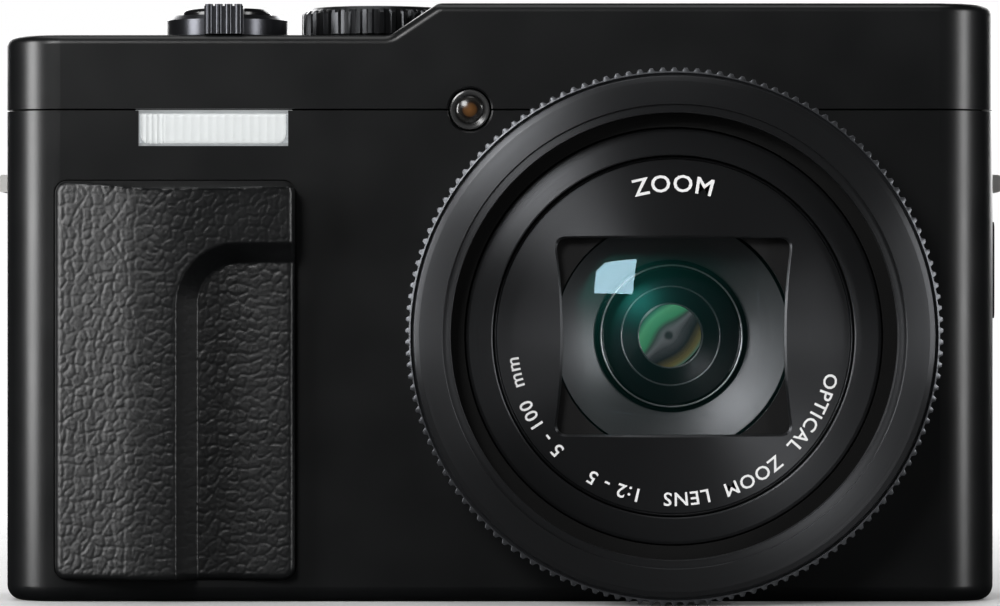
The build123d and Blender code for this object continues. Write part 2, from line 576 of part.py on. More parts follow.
fixed_barrel = turned([
    (FIXED_IN, GUIDE_REAR + 0.4), (FIXED_OUT, GUIDE_REAR + 0.4), (FIXED_OUT, GEAR_FRONT - 1.5),
    (CUP_R, GEAR_FRONT - 1.5), (CUP_R, GEAR_FRONT - 0.5), (FIXED_IN, GEAR_FRONT - 0.5)])
IDLER_DISTANCE = (CAM_TEETH + IDLER_TEETH) * GEAR_MODULE / 2
IDLER_X = LENS_X + IDLER_DISTANCE * cos(radians(IDLER_ANGLE))
IDLER_Z = LENS_Z + IDLER_DISTANCE * sin(radians(IDLER_ANGLE))
PINION_DISTANCE = (IDLER_TEETH + PINION_TEETH) * GEAR_MODULE / 2
PINION_X = IDLER_X + PINION_DISTANCE * cos(radians(PINION_ANGLE))
PINION_Z = IDLER_Z + PINION_DISTANCE * sin(radians(PINION_ANGLE))
MOTOR_R = 3.3
SHAFT_R = 0.7
EAR_ROOT_X = LENS_X + (CUP_R - 3) * cos(radians(200))
EAR_ROOT_Z = LENS_Z + (CUP_R - 3) * sin(radians(200))
ear_outline = make_hull([
    *(Pos(PINION_X, PINION_Z) * Circle(MOTOR_R)).edges(),
    *(Pos(EAR_ROOT_X, EAR_ROOT_Z) * Circle(3)).edges(),
])
ear = plate_y(ear_outline, GEAR_FRONT - 1.5, GEAR_FRONT - 0.5)
ear -= rod_y(LENS_X, LENS_Z, FIXED_OUT, GEAR_FRONT - 3, GEAR_FRONT)
fixed_barrel = fixed_barrel + ear - rod_y(PINION_X, PINION_Z, SHAFT_R + 0.4, GEAR_FRONT - 3, GEAR_FRONT)
parts["fixed_barrel"] = fixed_barrel

IDLER_PIN_R = 1.0
sensor_plate = turned([
    (0, PLATE_FRONT), (CUP_R - 0.9, PLATE_FRONT), (CUP_R - 0.9, GEAR_FRONT - 0.45), (CUP_R,
        GEAR_FRONT - 0.45),
    (CUP_R, PLATE_FRONT + PLATE_T), (0, PLATE_FRONT + PLATE_T)])
sensor_plate -= rod_y(IDLER_X, IDLER_Z, IDLER_TEETH * GEAR_MODULE / 2 + 0.9, GEAR_FRONT - 1, PLATE_FRONT)
sensor_plate -= rod_y(PINION_X, PINION_Z, PINION_TEETH * GEAR_MODULE / 2 + 0.9, GEAR_FRONT - 1, PLATE_FRONT)
sensor_plate += rod_y(IDLER_X, IDLER_Z, 5.6, PLATE_FRONT, PLATE_FRONT + PLATE_T)
sensor_plate += rod_y(IDLER_X, IDLER_Z, IDLER_PIN_R, GEAR_FRONT - 0.3, PLATE_FRONT + PLATE_T / 2)
parts["sensor_plate"] = sensor_plate
parts["image_sensor"] = block(LENS_X - 6, LENS_X + 6, PLATE_FRONT - 1.3, PLATE_FRONT - 0.02, LENS_Z - 5,
                              LENS_Z + 5)
motor = rod_y(PINION_X, PINION_Z, MOTOR_R, Y_FRONT + 2.6, GEAR_FRONT - 1.55)
parts["zoom_motor"] = motor - rod_y(PINION_X, PINION_Z, SHAFT_R + PIN_FIT, GEAR_FRONT - 6.1, GEAR_FRONT)


# ---------------------------------------------------------------- lens: control ring and drive
def knurl_outline():
    """The control ring's outside: flat-topped teeth with sloping sides, evenly spaced."""
    points = []
    step = 2 * pi / KNURL_TEETH
    root = RING_R - KNURL_DEPTH
    for k in range(KNURL_TEETH):
        for radius, share in ((root, 0.0), (root, 0.36), (RING_R, 0.5), (RING_R, 0.86)):
            angle = step * (k + share)
            points.append((LENS_X + radius * cos(angle), LENS_Z + radius * sin(angle)))
    return Polygon(*points, align=None)


ring_front = Y_LENS + 0.95
ring_back = Y_FRONT - 0.85
control_ring = plate_y(knurl_outline(), ring_front, ring_back - 0.9)
control_ring += rod_y(LENS_X, LENS_Z, RING_R - KNURL_DEPTH, ring_back - 1.0, ring_back)
parts["control_ring"] = control_ring - rod_y(LENS_X, LENS_Z, RING_IN, ring_front - 1, ring_back + 1)

# A tooth of the cam ring points at the idler; the idler has a gap there, and the pinion has a gap
# where an idler tooth points at it.
idler_step = 360 / IDLER_TEETH
idler_first = (IDLER_ANGLE + 180) + idler_step / 2
cam_step = 360 / CAM_TEETH
teeth_before = round((CAM_TURN + CAM_MARGIN) / cam_step)
cam_first = IDLER_ANGLE - teeth_before * cam_step
cam_count = teeth_before + 1 + round(CAM_MARGIN / cam_step)
offset_steps = (PINION_ANGLE - idler_first) / idler_step
idler_phase = offset_steps - round(offset_steps)     # how far an idler tooth is past the pinion's line
pinion_first = PINION_ANGLE + 180 + 360 / PINION_TEETH * (0.5 + idler_phase)
cam_ring = rod_y(LENS_X, LENS_Z, CAM_OUT, GUIDE_REAR + 0.5, GEAR_FRONT + GEAR_T + 0.1)
cam_gear = Pos(LENS_X, LENS_Z) * gear_outline(CAM_TEETH, cam_first, cam_count, CAM_OUT - 0.05)
cam_ring += plate_y(Pos(LENS_X, LENS_Z) * Circle(CAM_OUT + 0.2), GEAR_FRONT, GEAR_FRONT + GEAR_T)
cam_ring += plate_y(cam_gear, GEAR_FRONT, GEAR_FRONT + GEAR_T)
parts["cam_ring"] = cam_ring - rod_y(LENS_X, LENS_Z, CAM_IN, GUIDE_REAR - 1, PLATE_FRONT)
idler = plate_y(Pos(IDLER_X, IDLER_Z) * gear_outline(IDLER_TEETH, idler_first), GEAR_FRONT,
                GEAR_FRONT + GEAR_T)
parts["idler_gear"] = idler - rod_y(IDLER_X, IDLER_Z, IDLER_PIN_R + PIN_FIT, GEAR_FRONT - 1,
                                    GEAR_FRONT + GEAR_T + 1)
pinion = plate_y(Pos(PINION_X, PINION_Z) * gear_outline(PINION_TEETH, pinion_first), GEAR_FRONT,
                 GEAR_FRONT + GEAR_T)
pinion += rod_y(PINION_X, PINION_Z, SHAFT_R, GEAR_FRONT - 6.0, GEAR_FRONT + 0.1)
parts["motor_pinion"] = pinion

# ---------------------------------------------------------------- lens: outer barrel and zoom group
bore = OUTER_R - BARREL_WALL
parts["outer_barrel"] = turned([
    (INNER_BARREL_R + SLIDE_FIT, BARREL_FRONT), (OUTER_R - 0.25, BARREL_FRONT), (OUTER_R,
        BARREL_FRONT + 0.25),
    (OUTER_R, BARREL_REAR - FLANGE_T), (CAM_IN - SLIDE_FIT, BARREL_REAR - FLANGE_T), (CAM_IN - SLIDE_FIT,
        BARREL_REAR),
    (bore, BARREL_REAR), (bore, BARREL_FRONT + LIP_T), (INNER_BARREL_R + SLIDE_FIT, BARREL_FRONT + LIP_T)])
FRONT_LENS_BACK = NAME_FRONT + 6.25
parts["zoom_group_frame"] = turned([
    (ZOOM_GLASS_R + 0.1, FRONT_LENS_BACK + 1.5), (ZOOM_GLASS_R + 0.55, FRONT_LENS_BACK + 1.5),
    (ZOOM_GLASS_R + 0.9, FRONT_LENS_BACK + 2.1),
    (FRONT_LENS_R - 0.2, FRONT_LENS_BACK + 0.6), (FRONT_LENS_R - 0.2, FRONT_LENS_BACK + 1.4),
    (FRONT_LENS_R - 0.9, FRONT_LENS_BACK + 2.8), (FRONT_LENS_R - 0.9, BARREL_REAR + 0.2), (CAM_IN - 0.25,
        BARREL_REAR + 0.2), (CAM_IN - 0.25, BARREL_REAR + 1.0),
    (ZOOM_BORE, BARREL_REAR + 1.0), (ZOOM_BORE, FRONT_LENS_BACK + 5.8), (ZOOM_GLASS_R + 0.1,
        FRONT_LENS_BACK + 4.8)])
parts["zoom_group_lens"] = lens_solid(ZOOM_GLASS_R, FRONT_LENS_BACK + 1.8, 0.9, FRONT_LENS_BACK + 4.6, 0.6)
shutter = rod_y(LENS_X, LENS_Z, ZOOM_BORE - FIT, FRONT_LENS_BACK + 6.4, FRONT_LENS_BACK + 9.0)
SHUTTER_HOLE_R = 3.6
parts["shutter_unit"] = shutter - rod_y(LENS_X, LENS_Z, SHUTTER_HOLE_R, FRONT_LENS_BACK, FRONT_LENS_BACK + 12)

# ---------------------------------------------------------------- lens: inner barrel, barrier and front lens
name_r = INNER_BARREL_R - 0.25
parts["inner_barrel"] = turned([
    (name_r + 0.05, NAME_FRONT - 0.2), (INNER_BARREL_R - 0.1, NAME_FRONT - 0.2), (INNER_BARREL_R,
        NAME_FRONT - 0.1),
    (INNER_BARREL_R, BARREL_REAR - FLANGE_T + 0.2), (bore - SLIDE_FIT,
                                                     BARREL_REAR - FLANGE_T + 0.2), (bore - SLIDE_FIT,
                                                         BARREL_REAR),
    (INNER_BARREL_R - INNER_BARREL_WALL, BARREL_REAR), (INNER_BARREL_R - INNER_BARREL_WALL,
                                                        NAME_FRONT + 0.75),
    (name_r + 0.05, NAME_FRONT + 0.75)])


def window_sketch():
    """The opening in the name ring: level top and bottom, sides bowed inwards, small rounded corners."""
    x, z = WINDOW_W / 2, WINDOW_H / 2
    lines = [
        Line((-x, -z), (x, -z)), ThreePointArc((x, -z), (x - WINDOW_BOW, 0), (x, z)),
        Line((x, z), (-x, z)), ThreePointArc((-x, z), (-x + WINDOW_BOW, 0), (-x, -z))]
    face = make_face(lines)
    return Pos(LENS_X, LENS_Z) * fillet(face.vertices(), WINDOW_R)


name_ring = rod_y(LENS_X, LENS_Z, name_r, NAME_FRONT, NAME_FRONT + 0.7)
parts["name_ring"] = name_ring - plate_y(window_sketch(), NAME_FRONT - 1, NAME_FRONT + 2)
BARRIER_PIVOT = INNER_BARREL_R - 3.6         # a leaf's pivot from the lens axis
leaf_r = INNER_BARREL_R - INNER_BARREL_WALL - FIT


def leaf_outline(swing):
    """An upper leaf, open, about the lens axis: it must fit the barrel both here and after its swing."""
    pivot = Pos(BARRIER_PIVOT, 0)
    swung = (BARRIER_PIVOT * (1 - cos(radians(swing))), BARRIER_PIVOT * sin(radians(swing)))
    leaf = Circle(leaf_r) & (Pos(*swung) * Circle(leaf_r))
    leaf = leaf & (pivot * Circle(2 * BARRIER_PIVOT - 1.0))
    leaf = leaf & (Pos(0, leaf_r) * Rectangle(2 * leaf_r + 1, 2 * leaf_r))
    leaf = leaf - offset(Pos(-LENS_X, -LENS_Z) * window_sketch(), 0.15)
    return leaf + pivot * Circle(1.6) - pivot * Circle(PIVOT_PIN_R + PIN_FIT)


PIVOT_PIN_R = 0.7
layer_y = NAME_FRONT + 0.8
for which, swing in (("outer", OUTER_LEAF_SWING), ("inner", INNER_LEAF_SWING)):
    for place, half_turn in (("upper", 0), ("lower", 180)):
        placed = Pos(LENS_X, LENS_Z) * Rot(0, 0, half_turn) * leaf_outline(swing)
        parts[f"barrier_leaf_{place}_{which}"] = plate_y(placed, layer_y, layer_y + LEAF_T)
        layer_y += LEAF_T + 0.08
frame_front = layer_y
frame_r = INNER_BARREL_R - INNER_BARREL_WALL - PIN_FIT
GLASS_EDGE_R = FRONT_LENS_R + 0.5
front_lens_frame = turned([
    (FRONT_LENS_R, frame_front), (frame_r, frame_front), (frame_r, FRONT_LENS_BACK + 0.4),
    (GLASS_EDGE_R + PIN_FIT, FRONT_LENS_BACK + 0.4), (GLASS_EDGE_R + PIN_FIT, frame_front + 2.2),
    (FRONT_LENS_R, frame_front + 1.6)])
for side in (-1, 1):
    front_lens_frame += rod_y(LENS_X + side * BARRIER_PIVOT, LENS_Z, PIVOT_PIN_R, NAME_FRONT + 0.72,
                              frame_front + 0.5)
parts["front_lens_frame"] = front_lens_frame
parts["front_lens"] = lens_solid(GLASS_EDGE_R, frame_front + 0.6, 2.0, FRONT_LENS_BACK, 0.5)

# ---------------------------------------------------------------- lens: focus group
focus_y = BARREL_REAR - 1.6
parts["focus_frame"] = (rod_y(LENS_X, LENS_Z, ZOOM_BORE - 0.6, focus_y, focus_y + 1.8)
                        - rod_y(LENS_X, LENS_Z, FOCUS_GLASS_R + 0.05, focus_y - 1, focus_y + 3))
parts["focus_lens"] = lens_solid(FOCUS_GLASS_R, focus_y + 0.1, 0.5, focus_y + 1.7, 0.3)

# ---------------------------------------------------------------- top controls
lever_base = SHOULDER + 0.15
lever_top = SHOULDER + 2.45
lever = rod_z(SHUTTER_X, SHUTTER_YC, LEVER_R, lever_base, lever_top)
lever = chamfer(lever.edges().group_by(Axis.Z)[-1], 0.5)
TAB_W = 4.4
TAB_RIDGES = 4
TAB_FRONT = SHUTTER_YC - LEVER_R - 1.9
tab = block(SHUTTER_X - TAB_W / 2, SHUTTER_X + TAB_W / 2, TAB_FRONT + 0.3, SHUTTER_YC - BUTTON_R - 0.4,
            lever_base, SHOULDER + 3.3)
for k in range(TAB_RIDGES):
    ridge_x = SHUTTER_X + TAB_W * ((k + 0.5) / TAB_RIDGES - 0.5)
    tab += rod_z(ridge_x, TAB_FRONT + 0.5, TAB_W / TAB_RIDGES * 0.42, lever_base, SHOULDER + 3.5)
lever = lever + tab - rod_z(SHUTTER_X, SHUTTER_YC, BUTTON_R + 0.15, lever_base - 1, BODY_H + 3)
parts["zoom_lever"] = lever
button = rod_z(SHUTTER_X, SHUTTER_YC, BUTTON_R, SHOULDER + 1.3, SHOULDER + 3.25)
button = fillet(button.edges().group_by(Axis.Z)[-1], 0.5)
parts["shutter_button"] = button + rod_z(SHUTTER_X, SHUTTER_YC, STEM_R, SHOULDER - 3.4, SHOULDER + 1.4)


def dial_outline():
    """The mode dial's outside: shallow round-bottomed ribs, drawn as a toothed polygon."""
    points = []
    step = 2 * pi / MODE_DIAL_RIBS
    root = MODE_DIAL_R - 0.3
    for k in range(MODE_DIAL_RIBS):
        for radius, share in ((root, 0.0), (root, 0.34), (MODE_DIAL_R, 0.48), (MODE_DIAL_R, 0.86)):
            angle = step * (k + share)
            points.append((DIAL_X + radius * cos(angle), DIAL_Y + radius * sin(angle)))
    return Polygon(*points, align=None)


dial_base = SHOULDER + 0.15
mode_dial = prism_z(dial_outline(), dial_base, dial_base + MODE_DIAL_H - 0.45)
mode_dial += rod_z(DIAL_X, DIAL_Y, MODE_DIAL_R - 0.35, dial_base, dial_base + MODE_DIAL_H)
parts["mode_dial"] = mode_dial + rod_z(DIAL_X, DIAL_Y, DIAL_SHAFT_R, SHOULDER - 2.6, dial_base + 0.1)
TOP_TRAVEL = 0.6
for name, x, y, r in (("power_button", POWER_X, POWER_Y, POWER_R),
                      ("movie_button", MOVIE_X, MOVIE_Y, MOVIE_R)):
    cap = rod_z(x, y, r, SHOULDER - TOP_WELL + TOP_TRAVEL + 0.1, SHOULDER + 0.4)
    parts[name] = fillet(cap.edges().group_by(Axis.Z)[-1], 0.3)

# ---------------------------------------------------------------- rear controls
control = rod_y(CONTROL_X, CONTROL_Z, CONTROL_R, Y_REAR - BUTTON_WELL + 0.1, Y_REAR + 1.0)
control = fillet(control.edges().group_by(Axis.Y)[-1], 0.4)
parts["control_dial"] = control - rod_y(CONTROL_X, CONTROL_Z, SET_R + FIT, Y_REAR - 5, Y_REAR + 3)
for name, dx, dz, r in [("set_button", 0, 0, SET_R)] + [(n, x, z, REAR_BUTTON_R) for n, x, z in REAR_BUTTONS]:
    cap = rod_y(CONTROL_X + dx, CONTROL_Z + dz, r, Y_REAR - BUTTON_WELL + BUTTON_TRAVEL + 0.1,
                Y_REAR + BUTTON_STANDS)
    parts[name] = fillet(cap.edges().group_by(Axis.Y)[-1], 0.3)

# ---------------------------------------------------------------- tilting screen
GLASS_T = 0.8
PANEL_T = 1.4
BEZEL = 1.0
lcd = block(LCD_LEFT, LCD_RIGHT, LCD_FRONT, LCD_BACK, LCD_BASE, LCD_TOP)
lcd = fillet(lcd.edges().filter_by(Axis.Y), 1.0)
for end in (0, 1):
    x0 = knuckle_x(end)
    notch_out = LCD_LEFT - 1 if end == 0 else LCD_RIGHT + 1
    notch_in = x0 + KNUCKLE_W + 0.3 if end == 0 else x0 - 0.3
    lcd -= block(min(notch_out, notch_in), max(notch_out, notch_in), LCD_FRONT - 1, LCD_BACK + 1,
                 HINGE_Z - KNUCKLE_R - 0.5, LCD_TOP + 1)
    pin_in = notch_in + (3.0 if end == 0 else -3.0)
    lcd -= rod_x(HINGE_Y, HINGE_Z, PIN_R + PIN_FIT, min(notch_in, pin_in) - 0.5, max(notch_in, pin_in))
screen_top = HINGE_Z - KNUCKLE_R - 1.2
glass_face = (LCD_LEFT + BEZEL, LCD_RIGHT - BEZEL, LCD_BASE + BEZEL, screen_top)
gx0, gx1, gz0, gz1 = glass_face
lcd -= block(gx0, gx1, LCD_BACK - GLASS_T, LCD_BACK + 1, gz0, gz1)
lcd -= block(gx0 + 3, gx1 - 3, LCD_BACK - GLASS_T - PANEL_T, LCD_BACK, gz0 + 1, gz1 - 1)
parts["lcd_housing"] = lcd
parts["lcd_glass"] = block(gx0 + 0.05, gx1 - 0.05, LCD_BACK - GLASS_T + 0.02, LCD_BACK - 0.05, gz0 + 0.05,
                           gz1 - 0.05)
parts["lcd_panel"] = block(gx0 + 3.05, gx1 - 3.05, LCD_BACK - GLASS_T - PANEL_T + 0.05, LCD_BACK - GLASS_T,
                           gz0 + 1.05, gz1 - 1.05)

# ---------------------------------------------------------------- battery, card, door
battery = block(BATTERY_LEFT, BATTERY_RIGHT, BATTERY_FRONT, BATTERY_FRONT + BATTERY_T, BATTERY_BASE,
                BATTERY_BASE + BATTERY_H)
parts["battery"] = fillet(battery.edges().filter_by(Axis.Z), 1.5)
CARD_T = 2.1
card_y = BATTERY_FRONT + BATTERY_T + CHAMBER_WALL + 0.4
card_x = BATTERY_LEFT + 4.5
parts["memory_card"] = block(card_x, card_x + 24.0, card_y, card_y + CARD_T, BATTERY_BASE + 0.2,
                             BATTERY_BASE + 32.2)
c = CHAMBER_WALL
chamber_back = card_y + CARD_T + 0.2 + c
chamber = block(BATTERY_LEFT - 0.15 - c, BATTERY_RIGHT + 0.15 + c, BATTERY_FRONT - 0.15 - c, chamber_back,
                BATTERY_BASE + 0.1, BATTERY_BASE + BATTERY_H + 0.2 + c)
chamber = fillet(chamber.edges().filter_by(Axis.Z).group_by(Axis.Y)[0], 1.6)
chamber -= block(BATTERY_LEFT - 0.15, BATTERY_RIGHT + 0.15, BATTERY_FRONT - 0.15,
                 BATTERY_FRONT + BATTERY_T + 0.15,
                 BATTERY_BASE - 1, BATTERY_BASE + BATTERY_H + 0.2)
chamber -= block(card_x - 0.2, card_x + 24.2, card_y - 0.15, card_y + CARD_T + 0.15, BATTERY_BASE - 1,
                 BATTERY_BASE + 32.4)
parts["battery_chamber"] = chamber
door = block(DOOR_LEFT, DOOR_AXIS_X, DOOR_FRONT, DOOR_BACK, 0, DOOR_T)
door -= block(DOOR_AXIS_X - DOOR_KNUCKLE_R, DOOR_AXIS_X + 1, DOOR_FRONT - 1, DOOR_BACK + 1, DOOR_AXIS_Z,
              DOOR_T + 1)
door += rod_y(DOOR_AXIS_X, DOOR_AXIS_Z, DOOR_KNUCKLE_R, DOOR_FRONT, DOOR_BACK)
door -= block(DOOR_AXIS_X, DOOR_AXIS_X + 2, DOOR_FRONT - 1, DOOR_BACK + 1, -1, 0.0)
LATCH_L = 6.0
LATCH_W = 3.2
LATCH_TRAVEL = 2.0
LATCH_SUNK = 0.7
latch_x = DOOR_LEFT + 2.2
latch_y = (DOOR_FRONT + DOOR_BACK) / 2
door -= block(latch_x - FIT, latch_x + LATCH_L + LATCH_TRAVEL + FIT, latch_y - LATCH_W / 2 - FIT,
              latch_y + LATCH_W / 2 + FIT,
              -1, LATCH_SUNK)
door -= rod_y(DOOR_AXIS_X, DOOR_AXIS_Z, 0.5 + PIN_FIT, DOOR_FRONT - 1, DOOR_BACK + 1)
parts["battery_door"] = door
latch = block(latch_x, latch_x + LATCH_L, latch_y - LATCH_W / 2, latch_y + LATCH_W / 2, 0.12,
              LATCH_SUNK - 0.05)
for k in range(4):
    latch -= block(latch_x + 1.2 + k, latch_x + 1.6 + k, latch_y - LATCH_W / 2 + 0.4,
                   latch_y + LATCH_W / 2 - 0.4, -1, 0.35)
parts["battery_latch"] = latch

# ---------------------------------------------------------------- ports, electronics, lugs, bush, pins, screws
port_stands = 0.35
flap = block(RIGHT - WALL + 0.2, RIGHT + port_stands, PORT_FRONT, PORT_AXIS_Y - 1.3, PORT_BASE,
             PORT_BASE + PORT_H)
flap = fillet(flap.edges().filter_by(Axis.X), 1.0)
flap += block(PORT_AXIS_X - 0.2, PORT_AXIS_X + 0.3, PORT_AXIS_Y - 1.5, PORT_AXIS_Y, PORT_BASE + 1,
              PORT_BASE + PORT_H - 1)
flap += rod_z(PORT_AXIS_X, PORT_AXIS_Y, PORT_KNUCKLE_R, PORT_BASE, PORT_BASE + PORT_H)
parts["port_cover"] = flap - rod_z(PORT_AXIS_X, PORT_AXIS_Y, 0.25 + PIN_FIT, PORT_BASE - 1,
                                   PORT_BASE + PORT_H + 1)
socket_back = LENS_X + CUP_R + 0.3
socket_y = (PORT_FRONT + PORT_AXIS_Y) / 2
usb = block(socket_back, RIGHT - WALL - 0.2, socket_y - 4.5, socket_y + 4.5, PORT_BASE + 1.2, PORT_BASE + 4.4)
usb -= block(RIGHT - WALL - 5.0, RIGHT, socket_y - 4.2, socket_y + 4.2, PORT_BASE + 1.5, PORT_BASE + 4.1)
hdmi = block(socket_back, RIGHT - WALL - 0.2, socket_y - 3.2, socket_y + 3.2, PORT_BASE + 6.4,
             PORT_BASE + 9.3)
hdmi -= block(RIGHT - WALL - 5.0, RIGHT, socket_y - 2.9, socket_y + 2.9, PORT_BASE + 6.7, PORT_BASE + 9.0)
parts["port_sockets"] = Compound([usb, hdmi])

board_y = PLATE_FRONT + PLATE_T + 0.6
board = block(LEFT + 43.0, RIGHT - 2.2, board_y, board_y + 0.8, 3.0, SEAM + 1.0)
for x, z, w in ((LENS_X - 20, 8, 12.0), (LENS_X - 4, 12, 9.0), (LENS_X + 12, 30, 10.0),
                (LENS_X - 18, 36, 7.0)):
    board += block(x, x + w, board_y + 0.7, board_y + 1.6, z, z + w)
parts["main_board"] = board

LUG_BAR = 2.0
lug_solids = []
for side in (-1, 1):
    outer_x = side * (BODY_W / 2 + LUG_STANDS)
    inner_x = side * (BODY_W / 2 - 0.45)
    bar = block(min(outer_x, inner_x), max(outer_x, inner_x), LUG_Y - LUG_SLOT_L / 2 + 0.3,
                LUG_Y + LUG_SLOT_L / 2 - 0.3,
                LUG_Z - LUG_BAR / 2, LUG_Z + LUG_BAR / 2)
    bar = fillet(bar.edges().filter_by(Axis.Y), 0.5)
    root_x = side * (BODY_W / 2 - LUG_SLOT_DEPTH)
    for end in (-1, 1):
        y_leg = LUG_Y + end * (LUG_SLOT_L / 2 - 0.9)
        bar += block(min(root_x, inner_x + side * 0.3), max(root_x, inner_x + side * 0.3), y_leg - 0.6,
                     y_leg + 0.6,
                     LUG_Z - LUG_BAR / 2 + 0.2, LUG_Z + LUG_BAR / 2 - 0.2)
    lug_solids.append(bar.solids()[0])
parts["strap_lugs"] = Compound(lug_solids)

bush = rod_z(TRIPOD_X, TRIPOD_Y, 4.0, 0, TRIPOD_DEPTH + 0.5) + rod_z(TRIPOD_X, TRIPOD_Y, 5.2, FLOOR + 0.05,
    FLOOR + 0.85)
parts["tripod_bush"] = bush - rod_z(TRIPOD_X, TRIPOD_Y, TRIPOD_BORE_R, -1, TRIPOD_DEPTH)

pins = []
for end in (0, 1):
    x0 = knuckle_x(end)
    inner_end = x0 + KNUCKLE_W + 2.9 if end == 0 else x0 - 2.9
    outer_end = x0 + 0.2 if end == 0 else x0 + KNUCKLE_W - 0.2
    pins.append(rod_x(HINGE_Y, HINGE_Z, PIN_R, min(inner_end, outer_end), max(inner_end, outer_end)))
pins.append(rod_y(DOOR_AXIS_X, DOOR_AXIS_Z, 0.5, DOOR_FRONT + 0.1, DOOR_BACK - 0.1))
pins.append(rod_z(PORT_AXIS_X, PORT_AXIS_Y, 0.25, PORT_BASE + 0.1, PORT_BASE + PORT_H - 0.1))
parts["hinge_pins"] = Compound([p.solids()[0] for p in pins])

screws = []
for x, y, z, d in SCREWS:
    screw = along(x, y, z, d, SCREW_HEAD_R, 0.08, SCREW_HEAD_T + 0.05) + along(x, y, z, d, SCREW_R, 0.2,
        SCREW_L)
    plane = Plane(origin=(x, y, z), z_dir=d)
    for turn in (0, 90):
        screw -= plane * (Rot(0, 0, turn) * Pos(0, 0, 0.2) * Box(1.7, 0.35, 0.6))
    screws.append(screw.solids()[0])
parts["case_screws"] = Compound(screws)

# ---------------------------------------------------------------- write one file per piece
os.makedirs("parts", exist_ok=True)
for name, shape in parts.items():
    export_step(shape, f"parts/{name}.step")
print(len(parts), "parts")
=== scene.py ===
from math import pi, radians

import bmesh
import bpy
import numpy as np
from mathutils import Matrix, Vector


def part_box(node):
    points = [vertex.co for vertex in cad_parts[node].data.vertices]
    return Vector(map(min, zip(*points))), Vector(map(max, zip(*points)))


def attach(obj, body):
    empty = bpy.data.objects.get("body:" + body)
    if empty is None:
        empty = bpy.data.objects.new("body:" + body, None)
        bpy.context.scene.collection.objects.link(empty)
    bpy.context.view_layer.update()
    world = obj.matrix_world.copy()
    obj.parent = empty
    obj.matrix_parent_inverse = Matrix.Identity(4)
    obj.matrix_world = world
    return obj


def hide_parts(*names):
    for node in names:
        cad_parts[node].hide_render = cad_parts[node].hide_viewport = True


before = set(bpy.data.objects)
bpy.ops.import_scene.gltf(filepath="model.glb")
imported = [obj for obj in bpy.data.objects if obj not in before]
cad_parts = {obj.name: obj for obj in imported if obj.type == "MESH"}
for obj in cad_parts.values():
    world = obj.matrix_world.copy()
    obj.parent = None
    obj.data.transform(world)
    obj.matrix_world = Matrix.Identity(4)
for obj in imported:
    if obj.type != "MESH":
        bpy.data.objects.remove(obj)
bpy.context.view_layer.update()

# ---------------------------------------------------------------- studio
# A slab of pale paper in a white surround. Tall soft boxes stand at both sides, a small one hangs
# high in front at the left, and wide ones hang above and behind. The camera is level and looks
# straight at the front face from about two thirds of a metre.
MM = 0.001
scene = bpy.context.scene
scene.view_settings.view_transform = "Standard"
scene.view_settings.look = "None"


def corners(node):
    """A node's lowest and highest corners as two arrays in millimetres."""
    low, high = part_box(node)
    return np.array(low) / MM, np.array(high) / MM


def srgb(code, alpha=1.0):
    """Linear colour of an sRGB hex value."""
    v = np.array([int(code[i:i + 2], 16) for i in (1, 3, 5)]) / 255
    linear = np.where(v <= 0.04045, v / 12.92, ((v + 0.055) / 1.055) ** 2.4)
    return (*[float(c) for c in linear], alpha)


def add(tree, kind, inputs=None, **settings):
    """Adds one node: settings are its properties, inputs maps a socket to a value or to another socket."""
    node = tree.nodes.new(kind)
    for key, value in settings.items():
        setattr(node, key, value)
    for key, value in (inputs or {}).items():
        if isinstance(value, bpy.types.NodeSocket):
            tree.links.new(value, node.inputs[key])
        else:
            node.inputs[key].default_value = value
    return node


body_low, body_high = corners("top_cover")
BODY_FRONT, BODY_REAR = body_low[1], body_high[1]
BODY_TOP = body_high[2]
VIEW_DISTANCE = 650.0      # mm from the front face
FRAME_W = 112.8            # mm across the picture, at the front face
VIEW_HEIGHT = 33.73        # mm above the floor
SENSOR_W = 36.0
camera_data = bpy.data.cameras.new("camera")
camera_data.sensor_width = SENSOR_W
camera_data.lens = SENSOR_W * VIEW_DISTANCE / FRAME_W
camera_data.clip_start = 10 * MM
camera = bpy.data.objects.new("camera", camera_data)
camera.location = (0, (BODY_FRONT - VIEW_DISTANCE) * MM, VIEW_HEIGHT * MM)
camera.rotation_euler = (pi / 2, 0, 0)
scene.collection.objects.link(camera)
scene.camera = camera


def softbox(name, place, aim, size, brightness):
    """A rectangular lamp at place, aimed at a point, both in mm; brightness is its radiance."""
    data = bpy.data.lights.new(name, "AREA")
    data.shape = "RECTANGLE"
    data.size, data.size_y = size[0] * MM, size[1] * MM
    data.energy = brightness * pi * data.size * data.size_y
    light = bpy.data.objects.new(name, data)
    light.location = Vector(place) * MM
    light.rotation_euler = (Vector(aim) - Vector(place)).to_track_quat("-Z", "Y").to_euler()
    scene.collection.objects.link(light)


MIDDLE = (0, 0, 33)
softbox("left_strip", (-620, -290, 60), MIDDLE, (230, 620), 13.0)
softbox("right_strip", (580, -380, 40), MIDDLE, (170, 520), 10.0)
softbox("upper_left_box", (-240, -600, 330), MIDDLE, (200, 200), 14.0)
softbox("top_box", (-60, -40, 650), MIDDLE, (620, 260), 1.6)
softbox("rear_box", (300, 620, 260), MIDDLE, (380, 420), 6.0)
softbox("rear_left_box", (-260, 640, 300), MIDDLE, (240, 420), 5.0)
softbox("rear_fill", (-40, 720, 150), MIDDLE, (420, 360), 3.0)

